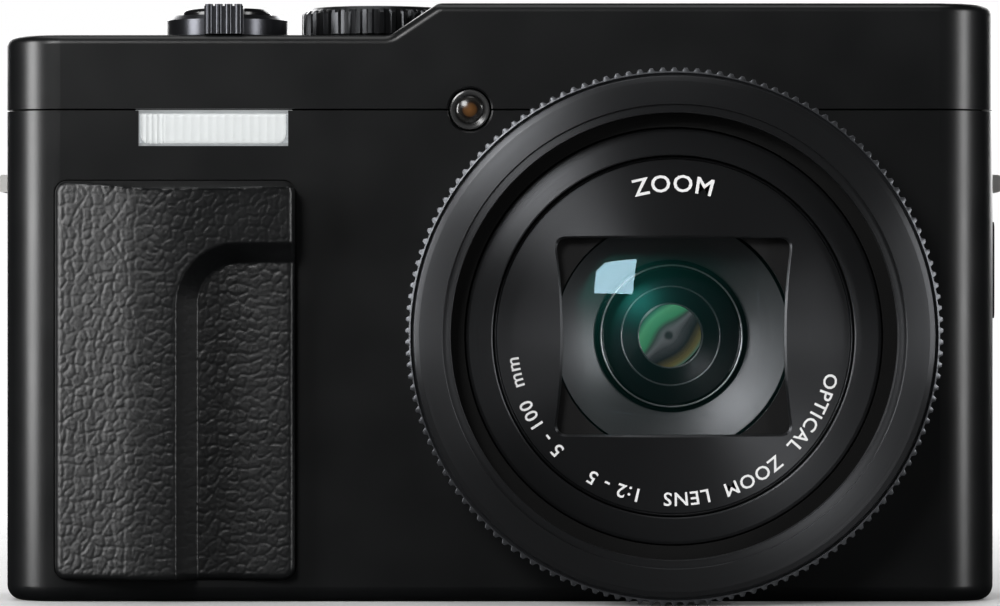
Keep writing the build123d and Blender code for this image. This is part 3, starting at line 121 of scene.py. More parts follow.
world = bpy.data.worlds.new("studio")
scene.world = world
world.use_nodes = True
tree = world.node_tree
tree.nodes.clear()
path = add(tree, "ShaderNodeLightPath")
ROOM_LIGHT = 0.02          # the surround is white to the camera, and lights the object only this much
dim = add(tree, "ShaderNodeBackground", {"Color": srgb("#ffffff"), "Strength": ROOM_LIGHT})
pale = add(tree, "ShaderNodeBackground", {"Color": srgb("#ffffff"), "Strength": 1.0})
both = add(tree, "ShaderNodeMixShader",
           {0: path.outputs["Is Camera Ray"], 1: dim.outputs[0], 2: pale.outputs[0]})
add(tree, "ShaderNodeOutputWorld", {"Surface": both.outputs[0]})


def new_material(name):
    """An empty node material with a Principled shader; returns the material, its tree and the shader."""
    material = bpy.data.materials.new(name)
    material.use_nodes = True
    tree = material.node_tree
    tree.nodes.clear()
    shader = add(tree, "ShaderNodeBsdfPrincipled")
    add(tree, "ShaderNodeOutputMaterial", {"Surface": shader.outputs[0]})
    return material, tree, shader


def mesh_object(name, points, faces, body, materials, sharp=30, second_from=None):
    """A closed mesh piece from points in mm and faces: doubles are merged and the faces turned outwards.
    Edges over sharp degrees stay crisp, and faces from second_from on take the second material."""
    mesh = bpy.data.meshes.new(name)
    faces = faces.tolist() if isinstance(faces, np.ndarray) else faces
    mesh.from_pydata((np.asarray(points, dtype=float) * MM).tolist(), [], faces)
    for material in materials if isinstance(materials, list) else [materials]:
        mesh.materials.append(material)
    if second_from is not None:
        index = (np.arange(len(mesh.polygons)) >= second_from).astype(np.int32)
        mesh.polygons.foreach_set("material_index", index)
    work = bmesh.new()
    work.from_mesh(mesh)
    bmesh.ops.remove_doubles(work, verts=work.verts, dist=1e-7)
    bmesh.ops.recalc_face_normals(work, faces=work.faces)
    work.to_mesh(mesh)
    work.free()
    mesh.shade_smooth()
    mesh.set_sharp_from_angle(angle=radians(sharp))
    piece = bpy.data.objects.new(name, mesh)
    scene.collection.objects.link(piece)
    if body:
        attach(piece, body)
    return piece


def grid_faces(rows, columns, wrap_rows=False, wrap_columns=False):
    """Quads of a grid of points stored row by row; either way may close on itself."""
    a, b = np.meshgrid(np.arange(rows if wrap_rows else rows - 1),
                       np.arange(columns if wrap_columns else columns - 1), indexing="ij")
    a1, b1 = (a + 1) % rows, (b + 1) % columns
    quads = np.stack([a * columns + b, a * columns + b1, a1 * columns + b1, a1 * columns + b], axis=-1)
    return quads.reshape(-1, 4)


# Matt paper: nearly no gloss, with a faint mottle of its fibres. It is dark to glossy rays, so its
# far edge doesn't draw a line across the glass.
floor_material, tree, shader = new_material("matt_paper_sweep")
coords = add(tree, "ShaderNodeTexCoord")
grain = add(tree, "ShaderNodeTexNoise", {"Vector": coords.outputs["Object"], "Scale": 900.0, "Detail": 3.0})
paper = add(tree, "ShaderNodeMix", {0: grain.outputs[0], 6: srgb("#f0f0f0"), 7: srgb("#f8f8f8")},
            data_type="RGBA")
tree.links.new(paper.outputs[2], shader.inputs["Base Color"])
shader.inputs["Roughness"].default_value = 0.9
shader.inputs["Specular IOR Level"].default_value = 0.1
path = add(tree, "ShaderNodeLightPath")
unlit = add(tree, "ShaderNodeBsdfDiffuse", {"Color": srgb("#202020")})
seen = add(tree, "ShaderNodeMixShader",
           {0: path.outputs["Is Glossy Ray"], 1: shader.outputs[0], 2: unlit.outputs[0]})
output = next(n for n in tree.nodes if n.type == "OUTPUT_MATERIAL")
tree.links.new(seen.outputs[0], output.inputs["Surface"])
FLOOR_SIDE, FLOOR_FRONT, FLOOR_REAR, FLOOR_T = 330, -170, 260, 2
outline = [(-FLOOR_SIDE, FLOOR_FRONT), (FLOOR_SIDE, FLOOR_FRONT), (FLOOR_SIDE, FLOOR_REAR),
           (-FLOOR_SIDE, FLOOR_REAR)]
slab_faces = [(3, 2, 1, 0), (4, 5, 6, 7), (0, 1, 5, 4), (1, 2, 6, 5), (2, 3, 7, 6), (3, 0, 4, 7)]
floor = mesh_object("floor", [(x, y, z) for z in (-FLOOR_T, 0) for x, y in outline], slab_faces, None,
                    floor_material)


def dress(material, *nodes):
    """Gives CAD nodes their material."""
    for node in nodes:
        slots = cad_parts[node].data.materials
        slots.clear()
        slots.append(material)


# ---------------------------------------------------------------- casing covers
# Pressed metal covers for the front and the top, sprayed a fine satin black and baked. The paint
# has a very slight orange peel, so soft boxes draw broad soft bands along the rounded edges.
def coated(name, dark, light, roughness, grain_mm, bump_mm, patch_mm=9.0, specular=0.5):
    """A painted or moulded surface: two near colours in soft patches, and a fine bump of one grain size."""
    material, tree, shader = new_material(name)
    place = add(tree, "ShaderNodeTexCoord").outputs["Object"]
    patches = add(tree, "ShaderNodeTexNoise", {"Vector": place, "Scale": 1 / (patch_mm * MM), "Detail": 3.0})
    colour = add(tree, "ShaderNodeMix", {0: patches.outputs[0], 6: srgb(dark), 7: srgb(light)},
                 data_type="RGBA")
    grain = add(tree, "ShaderNodeTexNoise", {"Vector": place, "Scale": 1 / (grain_mm * MM), "Detail": 2.0})
    gloss = add(tree, "ShaderNodeMapRange",
                {0: patches.outputs[0], 1: 0.3, 2: 0.7, 3: roughness - 0.02, 4: roughness + 0.02})
    bump = add(tree, "ShaderNodeBump",
               {"Height": grain.outputs[0], "Distance": bump_mm * MM, "Strength": 0.6})
    tree.links.new(colour.outputs[2], shader.inputs["Base Color"])
    tree.links.new(gloss.outputs[0], shader.inputs["Roughness"])
    tree.links.new(bump.outputs[0], shader.inputs["Normal"])
    shader.inputs["Specular IOR Level"].default_value = specular
    return material


satin_paint = coated("satin_black_paint_on_metal", "#0a0b0c", "#0e0f10", 0.31, 0.22, 0.003)
dress(satin_paint, "front_cover", "top_cover")
moulded_abs = coated("moulded_black_abs", "#0c0c0d", "#101012", 0.46, 0.3, 0.012)
dress(moulded_abs, "rear_cover", "battery_door", "port_cover", "lcd_housing")


# ---------------------------------------------------------------- fasteners, lugs and bush
# Stamped stainless strap lugs, a turned tripod bush and blackened cross-head screws. Bright steel
# carries the sharpest reflections on the object.
def metal(name, colour, roughness, streak_mm=1.0):
    """Plain metal with faint handling marks in its gloss."""
    material, tree, shader = new_material(name)
    place = add(tree, "ShaderNodeTexCoord").outputs["Object"]
    marks = add(tree, "ShaderNodeTexNoise", {"Vector": place, "Scale": 1 / (streak_mm * MM), "Detail": 4.0})
    gloss = add(tree, "ShaderNodeMapRange",
                {0: marks.outputs[0], 1: 0.3, 2: 0.7, 3: roughness - 0.04, 4: roughness + 0.05})
    tree.links.new(gloss.outputs[0], shader.inputs["Roughness"])
    shader.inputs["Base Color"].default_value = srgb(colour)
    shader.inputs["Metallic"].default_value = 1.0
    return material


steel = metal("satin_stainless_steel", "#d8d7d4", 0.48)
dress(steel, "strap_lugs", "hinge_pins", "tripod_bush", "port_sockets", "zoom_motor")
dress(metal("blackened_steel", "#3a3a3b", 0.33), "case_screws")

# ---------------------------------------------------------------- inside the casing
# The battery in its sleeve, card, boards, capacitor and the lens drive: moulded glass-filled
# plastic, acetal gears and a green circuit board, all hidden until a door or the lens opens.
flat_black = coated("flat_black_moulding", "#070708", "#0a0a0b", 0.55, 0.25, 0.008, specular=0.35)
dress(flat_black, "fixed_barrel", "sensor_plate", "battery_chamber", "cam_ring", "focus_frame",
      "shutter_unit", "battery_latch", "front_lens_frame")
dress(coated("natural_acetal", "#cfcabb", "#dcd8ca", 0.45, 0.3, 0.005), "idler_gear", "motor_pinion")
dress(coated("green_circuit_board", "#0f3a24", "#155033", 0.4, 0.5, 0.02), "main_board")
dress(coated("grey_battery_sleeve", "#3c3d40", "#46474a", 0.4, 0.6, 0.004), "battery")
dress(coated("navy_card_case", "#101a33", "#16223f", 0.35, 0.4, 0.004), "memory_card")
dress(coated("black_shrink_sleeve", "#0b0b10", "#111118", 0.25, 0.8, 0.01), "flash_capacitor")
dress(coated("sensor_cover_glass", "#10161a", "#18242a", 0.08, 0.8, 0.0005), "image_sensor")

# ---------------------------------------------------------------- control ring and trim ring
# Aluminium turned on a lathe and anodised black. Its fine circular tool marks draw each soft box
# out into a fan across the flat faces; the control ring's edge is cut into fine straight teeth.
ring_low, ring_high = corners("control_ring")
trim_low, trim_high = corners("trim_ring")
LENS_X = (ring_low[0] + ring_high[0]) / 2
LENS_Z = (ring_low[2] + ring_high[2]) / 2
LENS_CENTRE = (LENS_X, 0.0, LENS_Z)
RING_R = (ring_high[0] - ring_low[0]) / 2
TRIM_R = (trim_high[0] - trim_low[0]) / 2
TRIM_FRONT = trim_low[1]


def from_axis(tree, centre, axis=(0, 1, 0)):
    """A point's arm from an axis through centre, in mm, and that arm's length: object place less the
    centre, with the part along the axis dropped."""
    place = add(tree, "ShaderNodeTexCoord").outputs["Object"]
    middle, keep = tuple(float(c) * MM for c in centre), tuple(1.0 - a for a in axis)
    away = add(tree, "ShaderNodeVectorMath", {0: place, 1: middle}, operation="SUBTRACT")
    arm = add(tree, "ShaderNodeVectorMath", {0: away.outputs[0], 1: keep}, operation="MULTIPLY")
    length = add(tree, "ShaderNodeVectorMath", {0: arm.outputs[0]}, operation="LENGTH")
    return arm.outputs[0], length.outputs["Value"]


METAL_SHARE = 0.88         # dyed anodising over aluminium lets a little plain gloss through


def turned_metal(name, colour, roughness, anisotropy, centre, axis=(0, 1, 0), groove_mm=0.35, depth_mm=0.002):
    """Metal turned about an axis. The shader's tangent is the circle's direction crossed with the surface
    normal, so gloss is blurred across the tool marks and reflections spread into fans."""
    material, tree, shader = new_material(name)
    arm, radius = from_axis(tree, centre, axis)
    normal = add(tree, "ShaderNodeNewGeometry").outputs["Normal"]
    circle = add(tree, "ShaderNodeVectorMath", {0: arm, 1: axis}, operation="CROSS_PRODUCT")
    across = add(tree, "ShaderNodeVectorMath", {0: circle.outputs[0], 1: normal}, operation="CROSS_PRODUCT")
    tangent = add(tree, "ShaderNodeVectorMath", {0: across.outputs[0]}, operation="NORMALIZE")
    marks = add(tree, "ShaderNodeTexNoise", {"W": radius, "Scale": 1 / (groove_mm * MM), "Detail": 5.0},
                noise_dimensions="1D")
    bump = add(tree, "ShaderNodeBump",
               {"Height": marks.outputs[0], "Distance": depth_mm * MM, "Strength": 1.0})
    gloss = add(tree, "ShaderNodeMapRange",
                {0: marks.outputs[0], 1: 0.3, 2: 0.7, 3: roughness - 0.03, 4: roughness + 0.03})
    shader.inputs["Base Color"].default_value = srgb(colour)
    shader.inputs["Metallic"].default_value = METAL_SHARE
    shader.inputs["Anisotropic"].default_value = anisotropy
    tree.links.new(tangent.outputs[0], shader.inputs["Tangent"])
    tree.links.new(gloss.outputs[0], shader.inputs["Roughness"])
    tree.links.new(bump.outputs[0], shader.inputs["Normal"])
    return material


def eased(profile, radius=0.12, steps=3):
    """A closed outline with each corner cut back by the radius and joined by a parabola's arc."""
    p = np.asarray(profile, dtype=float)
    before, after = np.roll(p, 1, axis=0) - p, np.roll(p, -1, axis=0) - p
    cut_a = before * np.minimum(radius / np.linalg.norm(before, axis=1), 0.45)[:, None]
    cut_b = after * np.minimum(radius / np.linalg.norm(after, axis=1), 0.45)[:, None]
    t = np.linspace(0, 1, steps + 1)[None, :, None]
    arc = p[:, None] + cut_a[:, None] * (1 - t) ** 2 + cut_b[:, None] * t ** 2
    return arc.reshape(-1, 2)


def revolved(name, profile, body, material, centre=LENS_CENTRE, axis="y", columns=360, teeth=None, **extra):
    """A profile of (radius, height) carried round an axis. teeth(angle) is added to each point's radius,
    times the profile's third value where it has one."""
    profile = np.asarray(profile, dtype=float)
    angle = np.arange(columns) * 2 * pi / columns
    radius = np.repeat(profile[:, :1], columns, axis=1)
    if teeth is not None:
        radius = radius + profile[:, 2:3] * teeth(angle)[None, :]
    along = np.repeat(profile[:, 1:2], columns, axis=1)
    x = centre[0] + radius * np.cos(angle)
    if axis == "y":
        points = np.stack([x, along, centre[2] + radius * np.sin(angle)], axis=-1)
    else:
        points = np.stack([x, centre[1] + radius * np.sin(angle), along], axis=-1)
    faces = grid_faces(len(profile), columns, True, True)
    return mesh_object(name, points.reshape(-1, 3), faces, body, material, **extra)


def tooth_wave(count, flat=0.42, slope=0.14):
    """A function of the angle: 0 at a tooth's tip and -1 at its root. flat is the tip's share of the
    pitch, and each side falls over slope's share of it on a cubic ease."""
    def wave(angle):
        phase = np.mod(angle * count / (2 * pi), 1.0)
        t = np.clip((np.abs(phase - 0.5) - flat / 2) / slope, 0, 1)
        return -t * t * (3 - 2 * t)
    return wave


ring_metal = turned_metal("black_anodised_turned_aluminium", "#4a4b4d", 0.35, 0.9, LENS_CENTRE)
KNURL_TEETH = 146
KNURL_DEPTH = 0.42
KNURL_STANDS = 0.2         # teeth over the ring's own edge
KNURL_R = RING_R + KNURL_STANDS
RING_LAP = 1.9             # the ring runs in under the trim ring
RING_BORE = TRIM_R - RING_LAP
ring_front, ring_back = ring_low[1], ring_high[1]
knurl_profile = [(RING_BORE, ring_front + 0.6, 0), (KNURL_R - 0.6, ring_front + 0.6, 0),
                 (KNURL_R - 0.6, ring_front + 0.03, 0), (KNURL_R - 0.57, ring_front, 0),
                 (KNURL_R - KNURL_DEPTH, ring_front + 0.05, 0), (KNURL_R - 0.08, ring_front + 0.17, 0.34),
                 (KNURL_R, ring_front + 0.3, KNURL_DEPTH), (KNURL_R, ring_back - 1.35, KNURL_DEPTH),
                 (RING_R - 0.45, ring_back - 0.95, 0), (RING_R - 0.45, ring_back - 0.1, 0),
                 (RING_R - 0.55, ring_back, 0), (RING_BORE, ring_back, 0)]
# The knurl is the same metal with a lighter base colour, a painted glint on the teeth.
glint_lightened_tooth_metal = turned_metal("anodised_knurl_painted_lighter", "#74767a", 0.38, 0.85, LENS_CENTRE)
POINTS_PER_TOOTH = 8
knurled = revolved("knurled_control_ring", knurl_profile, "control_ring", glint_lightened_tooth_metal,
                   columns=KNURL_TEETH * POINTS_PER_TOOTH, teeth=tooth_wave(KNURL_TEETH, 0.34, 0.14))
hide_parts("control_ring")

outer_low, outer_high = corners("outer_barrel")
inner_low, inner_high = corners("inner_barrel")
NAME_GAP = 0.25            # name ring to the inner barrel's outside
BARREL_STEP = 3.15         # inner barrel's outside to the outer barrel's
TRIM_GAP = 1.65            # outer barrel's outside to the trim ring's bore
OUTER_R = (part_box("name_ring")[1][0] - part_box("name_ring")[0][0]) / MM / 2 + NAME_GAP + BARREL_STEP
TRIM_BORE = OUTER_R + TRIM_GAP
trim_profile = eased([
    (TRIM_BORE, TRIM_FRONT + 0.22), (TRIM_BORE + 0.9, TRIM_FRONT + 0.3), (TRIM_BORE + 0.95, TRIM_FRONT),
    (TRIM_R - 0.6, TRIM_FRONT + 0.3), (TRIM_R - 0.05, TRIM_FRONT + 0.49), (TRIM_R, TRIM_FRONT + 0.55),
    (TRIM_R, TRIM_FRONT + 0.85), (TRIM_R - 1.6, TRIM_FRONT + 0.85), (TRIM_R - 1.6, TRIM_FRONT + 2.5),
    (TRIM_BORE, TRIM_FRONT + 2.5)], 0.03)
trim = revolved("turned_trim_ring", trim_profile, "casing", ring_metal)
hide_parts("trim_ring")
# The lens base shows only as the dark gap inside the trim ring: the black moulding made darker and less
# glossy, as painted shade for the gap.
dress(coated("flat_black_darkened_as_shade", "#030303", "#050505", 0.6, 0.25, 0.008, specular=0.2), "lens_base")

# ---------------------------------------------------------------- barrels
# Two telescoping barrels of thin aluminium, turned and anodised black, with finer tool marks than
# the rings. Each has a coned front lip with eased edges, so the soft boxes draw fans on it.
OUTER_FRONT, OUTER_BACK = outer_low[1], outer_high[1]
INNER_FRONT, INNER_BACK = inner_low[1], inner_high[1]
INNER_R = OUTER_R - BARREL_STEP
FLANGE = 1.6
SLIDE_GAP = 0.15
BARREL_WALL = 1.0
INNER_WALL = 0.8
flange_r = (outer_high[0] - outer_low[0]) / 2
inner_flange_r = (inner_high[0] - inner_low[0]) / 2
barrel_metal = turned_metal("black_anodised_barrel", "#47484a", 0.36, 0.9, LENS_CENTRE, groove_mm=0.22)
outer_profile = eased([
    (INNER_R + SLIDE_GAP, OUTER_FRONT + 0.06), (INNER_R + SLIDE_GAP + 0.15, OUTER_FRONT),
    (OUTER_R - 0.36, OUTER_FRONT + 0.36), (OUTER_R - 0.03, OUTER_FRONT + 0.53), (OUTER_R, OUTER_FRONT + 0.6),
    (OUTER_R, OUTER_BACK - FLANGE), (flange_r, OUTER_BACK - FLANGE), (flange_r, OUTER_BACK),
    (OUTER_R - BARREL_WALL, OUTER_BACK), (OUTER_R - BARREL_WALL, OUTER_FRONT + 1.4),
    (INNER_R + SLIDE_GAP, OUTER_FRONT + 1.4)], 0.03)
outer_barrel = revolved("turned_outer_barrel", outer_profile, "outer_barrel", barrel_metal)
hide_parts("outer_barrel")

name_low, name_high = corners("name_ring")
NAME_FRONT, NAME_BACK = name_low[1], name_high[1]
NAME_R = (name_high[0] - name_low[0]) / 2
inner_profile = eased([
    (NAME_R + 0.05, INNER_FRONT + 0.05), (NAME_R + 0.09, INNER_FRONT), (INNER_R - 0.03, INNER_FRONT + 0.14),
    (INNER_R, INNER_FRONT + 0.2), (INNER_R, INNER_BACK - FLANGE + 0.2),
    (inner_flange_r, INNER_BACK - FLANGE + 0.2), (inner_flange_r, INNER_BACK),
    (INNER_R - INNER_WALL, INNER_BACK), (INNER_R - INNER_WALL, NAME_BACK + 0.05),
    (NAME_R + 0.05, NAME_BACK + 0.05)], 0.03)
inner_barrel = revolved("turned_inner_barrel", inner_profile, "inner_barrel", barrel_metal)
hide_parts("inner_barrel")

# ---------------------------------------------------------------- zoom group behind the front glass
# A turned cone, anodised satin grey, leads in to a gloss black retaining ring and its glass. Behind
# them stepped black baffles narrow to the shutter's round opening; each edge carries a thin lip of
# bright metal, a painted highlight line.
zoom_low, zoom_high = corners("zoom_group_frame")
glass_low, glass_high = corners("zoom_group_lens")
GLASS_R = (glass_high[0] - glass_low[0]) / 2
CONE_R = 13.2
CONE_BORE = GLASS_R + 0.95
CONE_FRONT = zoom_low[1]
ZOOM_BACK = zoom_high[1]
ZOOM_FLANGE_R = (zoom_high[0] - zoom_low[0]) / 2
glass_front, glass_back = glass_low[1], glass_high[1]
satin_cone = turned_metal("satin_grey_anodised_cone", "#6b6d70", 0.42, 0.35, LENS_CENTRE, groove_mm=0.18)
cone_profile = eased([
    (CONE_BORE, glass_front + 0.32), (CONE_R, CONE_FRONT), (CONE_R, CONE_FRONT + 0.35),
    (CONE_BORE, glass_front + 0.62)], 0.05)
cone = revolved("satin_cone_face", cone_profile, "outer_barrel", satin_cone)
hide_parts("zoom_group_frame")
gloss_black = turned_metal("gloss_black_turned_ring", "#161719", 0.22, 0.5, LENS_CENTRE)
bezel_profile = eased([
    (GLASS_R - 0.1, glass_front + 0.05), (GLASS_R + 0.35, glass_front - 0.2),
    (GLASS_R + 0.6, glass_front - 0.12), (GLASS_R + 0.9, glass_front + 0.3),
    (GLASS_R + 0.9, glass_front + 1.0), (GLASS_R + 0.1, glass_front + 1.0)], 0.06)
bezel = revolved("retaining_ring", bezel_profile, "outer_barrel", gloss_black)
FIRST_STOP_R = 5.75
SECOND_STOP_R = 3.75
SKIRT_R, SKIRT_BORE = CONE_R - 0.8, 9.4
STOP_BACK = glass_back + 1.3
ZOOM_FLANGE_FRONT = ZOOM_BACK - 1.0
baffle_profile = eased([
    (FIRST_STOP_R, glass_back + 0.1), (SKIRT_R, glass_back + 0.1), (SKIRT_R, ZOOM_FLANGE_FRONT),
    (ZOOM_FLANGE_R, ZOOM_FLANGE_FRONT), (ZOOM_FLANGE_R, ZOOM_BACK), (SKIRT_BORE, ZOOM_BACK),
    (SKIRT_BORE, STOP_BACK), (SECOND_STOP_R, STOP_BACK), (SECOND_STOP_R, glass_back + 1.1),
    (5.5, glass_back + 0.65)], 0.05)
baffle_black = turned_metal("black_turned_baffle", "#2b2c2e", 0.4, 0.6, LENS_CENTRE)
baffles = revolved("stepped_baffles", baffle_profile, "outer_barrel", baffle_black)
# Painted highlight: bright metal lips, far lighter than the black parts they sit on, draw the edge lines.
highlight_rim_metal = turned_metal("turned_rim_painted_highlight", "#c4c6ca", 0.38, 0.7, LENS_CENTRE)
for radius, place in ((5.62, glass_back + 0.03), (3.66, glass_back + 0.98),
                      (GLASS_R + 0.3, glass_front - 0.2)):
    lip = eased([(radius - 0.1, place), (radius, place - 0.07), (radius + 0.1, place),
                 (radius, place + 0.1)], 0.02)
    rim = revolved(f"baffle_highlight_rim_{radius:.0f}mm", lip, "outer_barrel", highlight_rim_metal)


# ---------------------------------------------------------------- glass elements
# Ground and polished optical glass. The vacuum-coated faces throw back only a little light, each in
# one colour: pale blue from the front face, teal and purple from those behind it. The focus group's
# green is a painted reflection and a painted glow.
def coated_face(name, reflected, share, roughness=0.0):
    """One coated glass face: share of the light comes back in the coating's colour, the rest goes through."""
    material, tree, shader = new_material(name)
    shader.inputs["Base Color"].default_value = srgb(reflected)
    shader.inputs["Metallic"].default_value = 1.0
    shader.inputs["Roughness"].default_value = roughness
    shader.inputs["Alpha"].default_value = share
    return material


GLASS_RINGS = 14
GLASS_COLUMNS = 96


def lens_element(name, centre, radius, front, bulge, back, hollow, body, faces, node):
    """Glass with spherical faces: depth at radius r is the sphere's own, R - sqrt(R^2 - r^2). The front
    face bulges from front, the rear one is hollow, and each has its own coating."""
    def cap(depth, r):
        ball = (radius ** 2 + depth ** 2) / (2 * depth)
        return ball - np.sqrt(ball ** 2 - r ** 2)
    r = np.linspace(0, radius, GLASS_RINGS)
    first = np.stack([r, front + cap(bulge, r)], axis=-1)
    second = np.stack([r[::-1], back - hollow + cap(hollow, r[::-1])], axis=-1)
    profile = np.concatenate([first, second])
    element = revolved(name, profile, body, faces, centre, columns=GLASS_COLUMNS,
                       second_from=(GLASS_RINGS - 1) * GLASS_COLUMNS)
    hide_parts(node)


blue_coat = coated_face("pale_blue_antireflection_coat", "#9fc0d0", 0.07)
teal_coat = coated_face("teal_antireflection_coat", "#2f9f92", 0.1, 0.35)
purple_coat = coated_face("purple_antireflection_coat", "#8a5aa0", 0.06, 0.3)
front_low, front_high = corners("front_lens")
FRONT_EDGE = 0.4           # least thickness at the front glass's rim
FRONT_BULGE = min(3.1, front_high[1] - front_low[1] - FRONT_EDGE)
FRONT_HOLLOW = 1.5
SHUTTER_R = 3.6
lens_element("front_element", LENS_CENTRE, (front_high[0] - front_low[0]) / 2, front_low[1], FRONT_BULGE,
             front_high[1], FRONT_HOLLOW, "inner_barrel", [blue_coat, teal_coat], "front_lens")
lens_element("zoom_element", LENS_CENTRE, GLASS_R, glass_front, 1.7, glass_back, 0.6, "outer_barrel",
             [teal_coat, purple_coat], "zoom_group_lens")
focus_low, focus_high = corners("focus_lens")
FOCUS_R = (focus_high[0] - focus_low[0]) / 2
# The focus group's coated faces carry a painted reflection that also glows though no lamp is there:
# green towards the upper left, a dim grey middle and an olive edge at the lower right.
UP_LEFT = (-0.707, 0.0, 0.707)
PUPIL_R, PUPIL_EDGE = 0.35, 0.65
PUPIL_PAINTED_GLOW, GLASS_PAINTED_GLOW = 0.08, 0.6
material, tree, shader = new_material("green_coat_painted_reflection_glow")
arm, reach = from_axis(tree, LENS_CENTRE)
slant = add(tree, "ShaderNodeVectorMath", {0: arm, 1: UP_LEFT}, operation="DOT_PRODUCT")
leaning = add(tree, "ShaderNodeMath", {0: slant.outputs["Value"], 1: reach}, operation="MULTIPLY")
edge = (SHUTTER_R * MM) ** 2
share = add(tree, "ShaderNodeMapRange", {0: leaning.outputs[0], 1: -edge, 2: edge})
pupil = add(tree, "ShaderNodeMapRange",
            {0: reach, 1: PUPIL_R * MM, 2: PUPIL_EDGE * MM, 3: PUPIL_PAINTED_GLOW, 4: GLASS_PAINTED_GLOW})
ramp = add(tree, "ShaderNodeValToRGB", {0: share.outputs[0]})


def colour_stops(ramp, stops):
    """Adds (place, sRGB colour) stops to a colour ramp."""
    for place, colour in stops:
        stop = ramp.color_ramp.elements.new(place)
        stop.color = srgb(colour)


colour_stops(ramp, ((0.03, "#5a7a6c"), (0.12, "#6f6a44"), (0.22, "#5a5238"), (0.34, "#26262a"),
                    (0.46, "#4a4a4e"), (0.51, "#7a7c80"), (0.55, "#4a5a54"), (0.61, "#4fa878"),
                    (0.78, "#68c08c"), (0.92, "#2a5a48")))
tree.links.new(ramp.outputs[0], shader.inputs["Base Color"])
# Painted glow: the ramp's colours are also emitted, weaker at the pupil.
tree.links.new(ramp.outputs[0], shader.inputs["Emission Color"])
tree.links.new(pupil.outputs[0], shader.inputs["Emission Strength"])
shader.inputs["Roughness"].default_value = 0.1
shader.inputs["Alpha"].default_value = 0.85
FOCUS_BULGE = 1.1
lens_element("focus_element", LENS_CENTRE, FOCUS_R, focus_low[1] - 0.9, FOCUS_BULGE,
             focus_high[1], 0.3, "focus_group", [material, purple_coat], "focus_lens")

# ---------------------------------------------------------------- name ring and barrier
# The front plate of the inner barrel, turned and then punched with the barrel-sided window. White
# printing runs round it. The four barrier leaves behind it are stamped from thin blackened steel.
WINDOW_X = NAME_R - 6.6
WINDOW_Z = NAME_R - 8.85
WINDOW_BOW = 0.9
WINDOW_CORNER = 1.5


def window_radius(angle):
    """The window's radius at each angle: straight top and bottom, sides on arcs that bow inwards, and
    corners cut back and joined by a parabola's arc, read off the outline by its polar angle."""
    side = np.linspace(-1, 1, 41)
    ball = (WINDOW_Z ** 2 + WINDOW_BOW ** 2) / (2 * WINDOW_BOW)
    inward = WINDOW_BOW - (ball - np.sqrt(ball ** 2 - (side * WINDOW_Z) ** 2))
    reach = 1 - WINDOW_CORNER / WINDOW_Z
    keep = np.abs(side) <= reach
    right = np.stack([WINDOW_X - inward[keep], side[keep] * WINDOW_Z], axis=-1)
    top_start = np.array([WINDOW_X - WINDOW_CORNER, WINDOW_Z])
    t = np.linspace(0, 1, 12)[:, None]
    control = np.array([WINDOW_X - 0.02, WINDOW_Z])
    corner = right[-1] * (1 - t) ** 2 + 2 * control * t * (1 - t) + top_start * t ** 2
    top = np.stack([np.linspace(WINDOW_X - WINDOW_CORNER, -WINDOW_X + WINDOW_CORNER, 60),
                    np.full(60, WINDOW_Z)], axis=-1)
    mirrored = (corner * (-1, 1))[::-1]
    half = np.concatenate([right[right[:, 1] >= 0], corner, top, mirrored, (right * (-1, 1))[::-1][
        (right[:, 1] >= 0)[::-1]]])
    outline = np.concatenate([half, -half])
    polar = np.mod(np.arctan2(outline[:, 1], outline[:, 0]), 2 * pi)
    order = np.argsort(polar)
    return np.interp(angle, polar[order], np.hypot(*outline[order].T), period=2 * pi)


NAME_COLUMNS = 720
CHAMFER = 0.3              # round the window, on the plate's face
angle = np.arange(NAME_COLUMNS) * 2 * pi / NAME_COLUMNS
opening = window_radius(angle)
rows = [(opening, NAME_BACK), (opening, NAME_FRONT + 0.34), (opening + 0.04, NAME_FRONT + 0.22),
        (opening + CHAMFER, NAME_FRONT)]
rows += [(opening + CHAMFER + (NAME_R - 0.12 - opening - CHAMFER) * t, NAME_FRONT)
         for t in (0.25, 0.5, 0.75, 1.0)]
rows += [(np.full_like(opening, NAME_R), NAME_FRONT + 0.1), (np.full_like(opening, NAME_R), NAME_BACK)]
points = np.concatenate([
    np.stack([LENS_X + r * np.cos(angle), np.full_like(r, y), LENS_Z + r * np.sin(angle)], axis=-1)
    for r, y in rows])
plate_faces = grid_faces(len(rows), NAME_COLUMNS, True, True)
name_plate = mesh_object("name_plate", points, plate_faces, "inner_barrel", barrel_metal)
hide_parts("name_ring")
leaf_steel = metal("blackened_spring_steel", "#1d1d1f", 0.42)
dress(leaf_steel, *[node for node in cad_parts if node.startswith("barrier_leaf")])

INK_T = 0.012              # mm of ink
INK_SPREAD = 0.012         # how far the ink swells the letters' strokes, as a share of the font's size
LETTER_SPACE = 1.12
CAP_SHARE = 0.729          # the font's capitals, as a share of its size
white_ink = coated("white_silkscreen_ink", "#e6e6e6", "#f4f4f4", 0.5, 0.15, 0.002)


def lettering(text, cap):
    """Flat text as points in mm, centred on x = 0 with its baseline at y = 0, and its faces. The font's
    capitals are scaled to the cap height, and the ink is a thin closed slab."""
    curve = bpy.data.curves.new("lettering", "FONT")
    curve.body = text
    curve.align_x = "CENTER"
    curve.resolution_u = 3
    curve.space_character = LETTER_SPACE
    curve.extrude = 0.5
    curve.offset = INK_SPREAD
    holder = bpy.data.objects.new("lettering", curve)
    mesh = bpy.data.meshes.new_from_object(holder)
    flat = np.empty(len(mesh.vertices) * 3)
    mesh.vertices.foreach_get("co", flat)
    flat = flat.reshape(-1, 3)
    faces = [tuple(p.vertices) for p in mesh.polygons]
    bpy.data.objects.remove(holder)
    bpy.data.curves.remove(curve)
    bpy.data.meshes.remove(mesh)
    return flat * (cap / CAP_SHARE, cap / CAP_SHARE, INK_T), faces


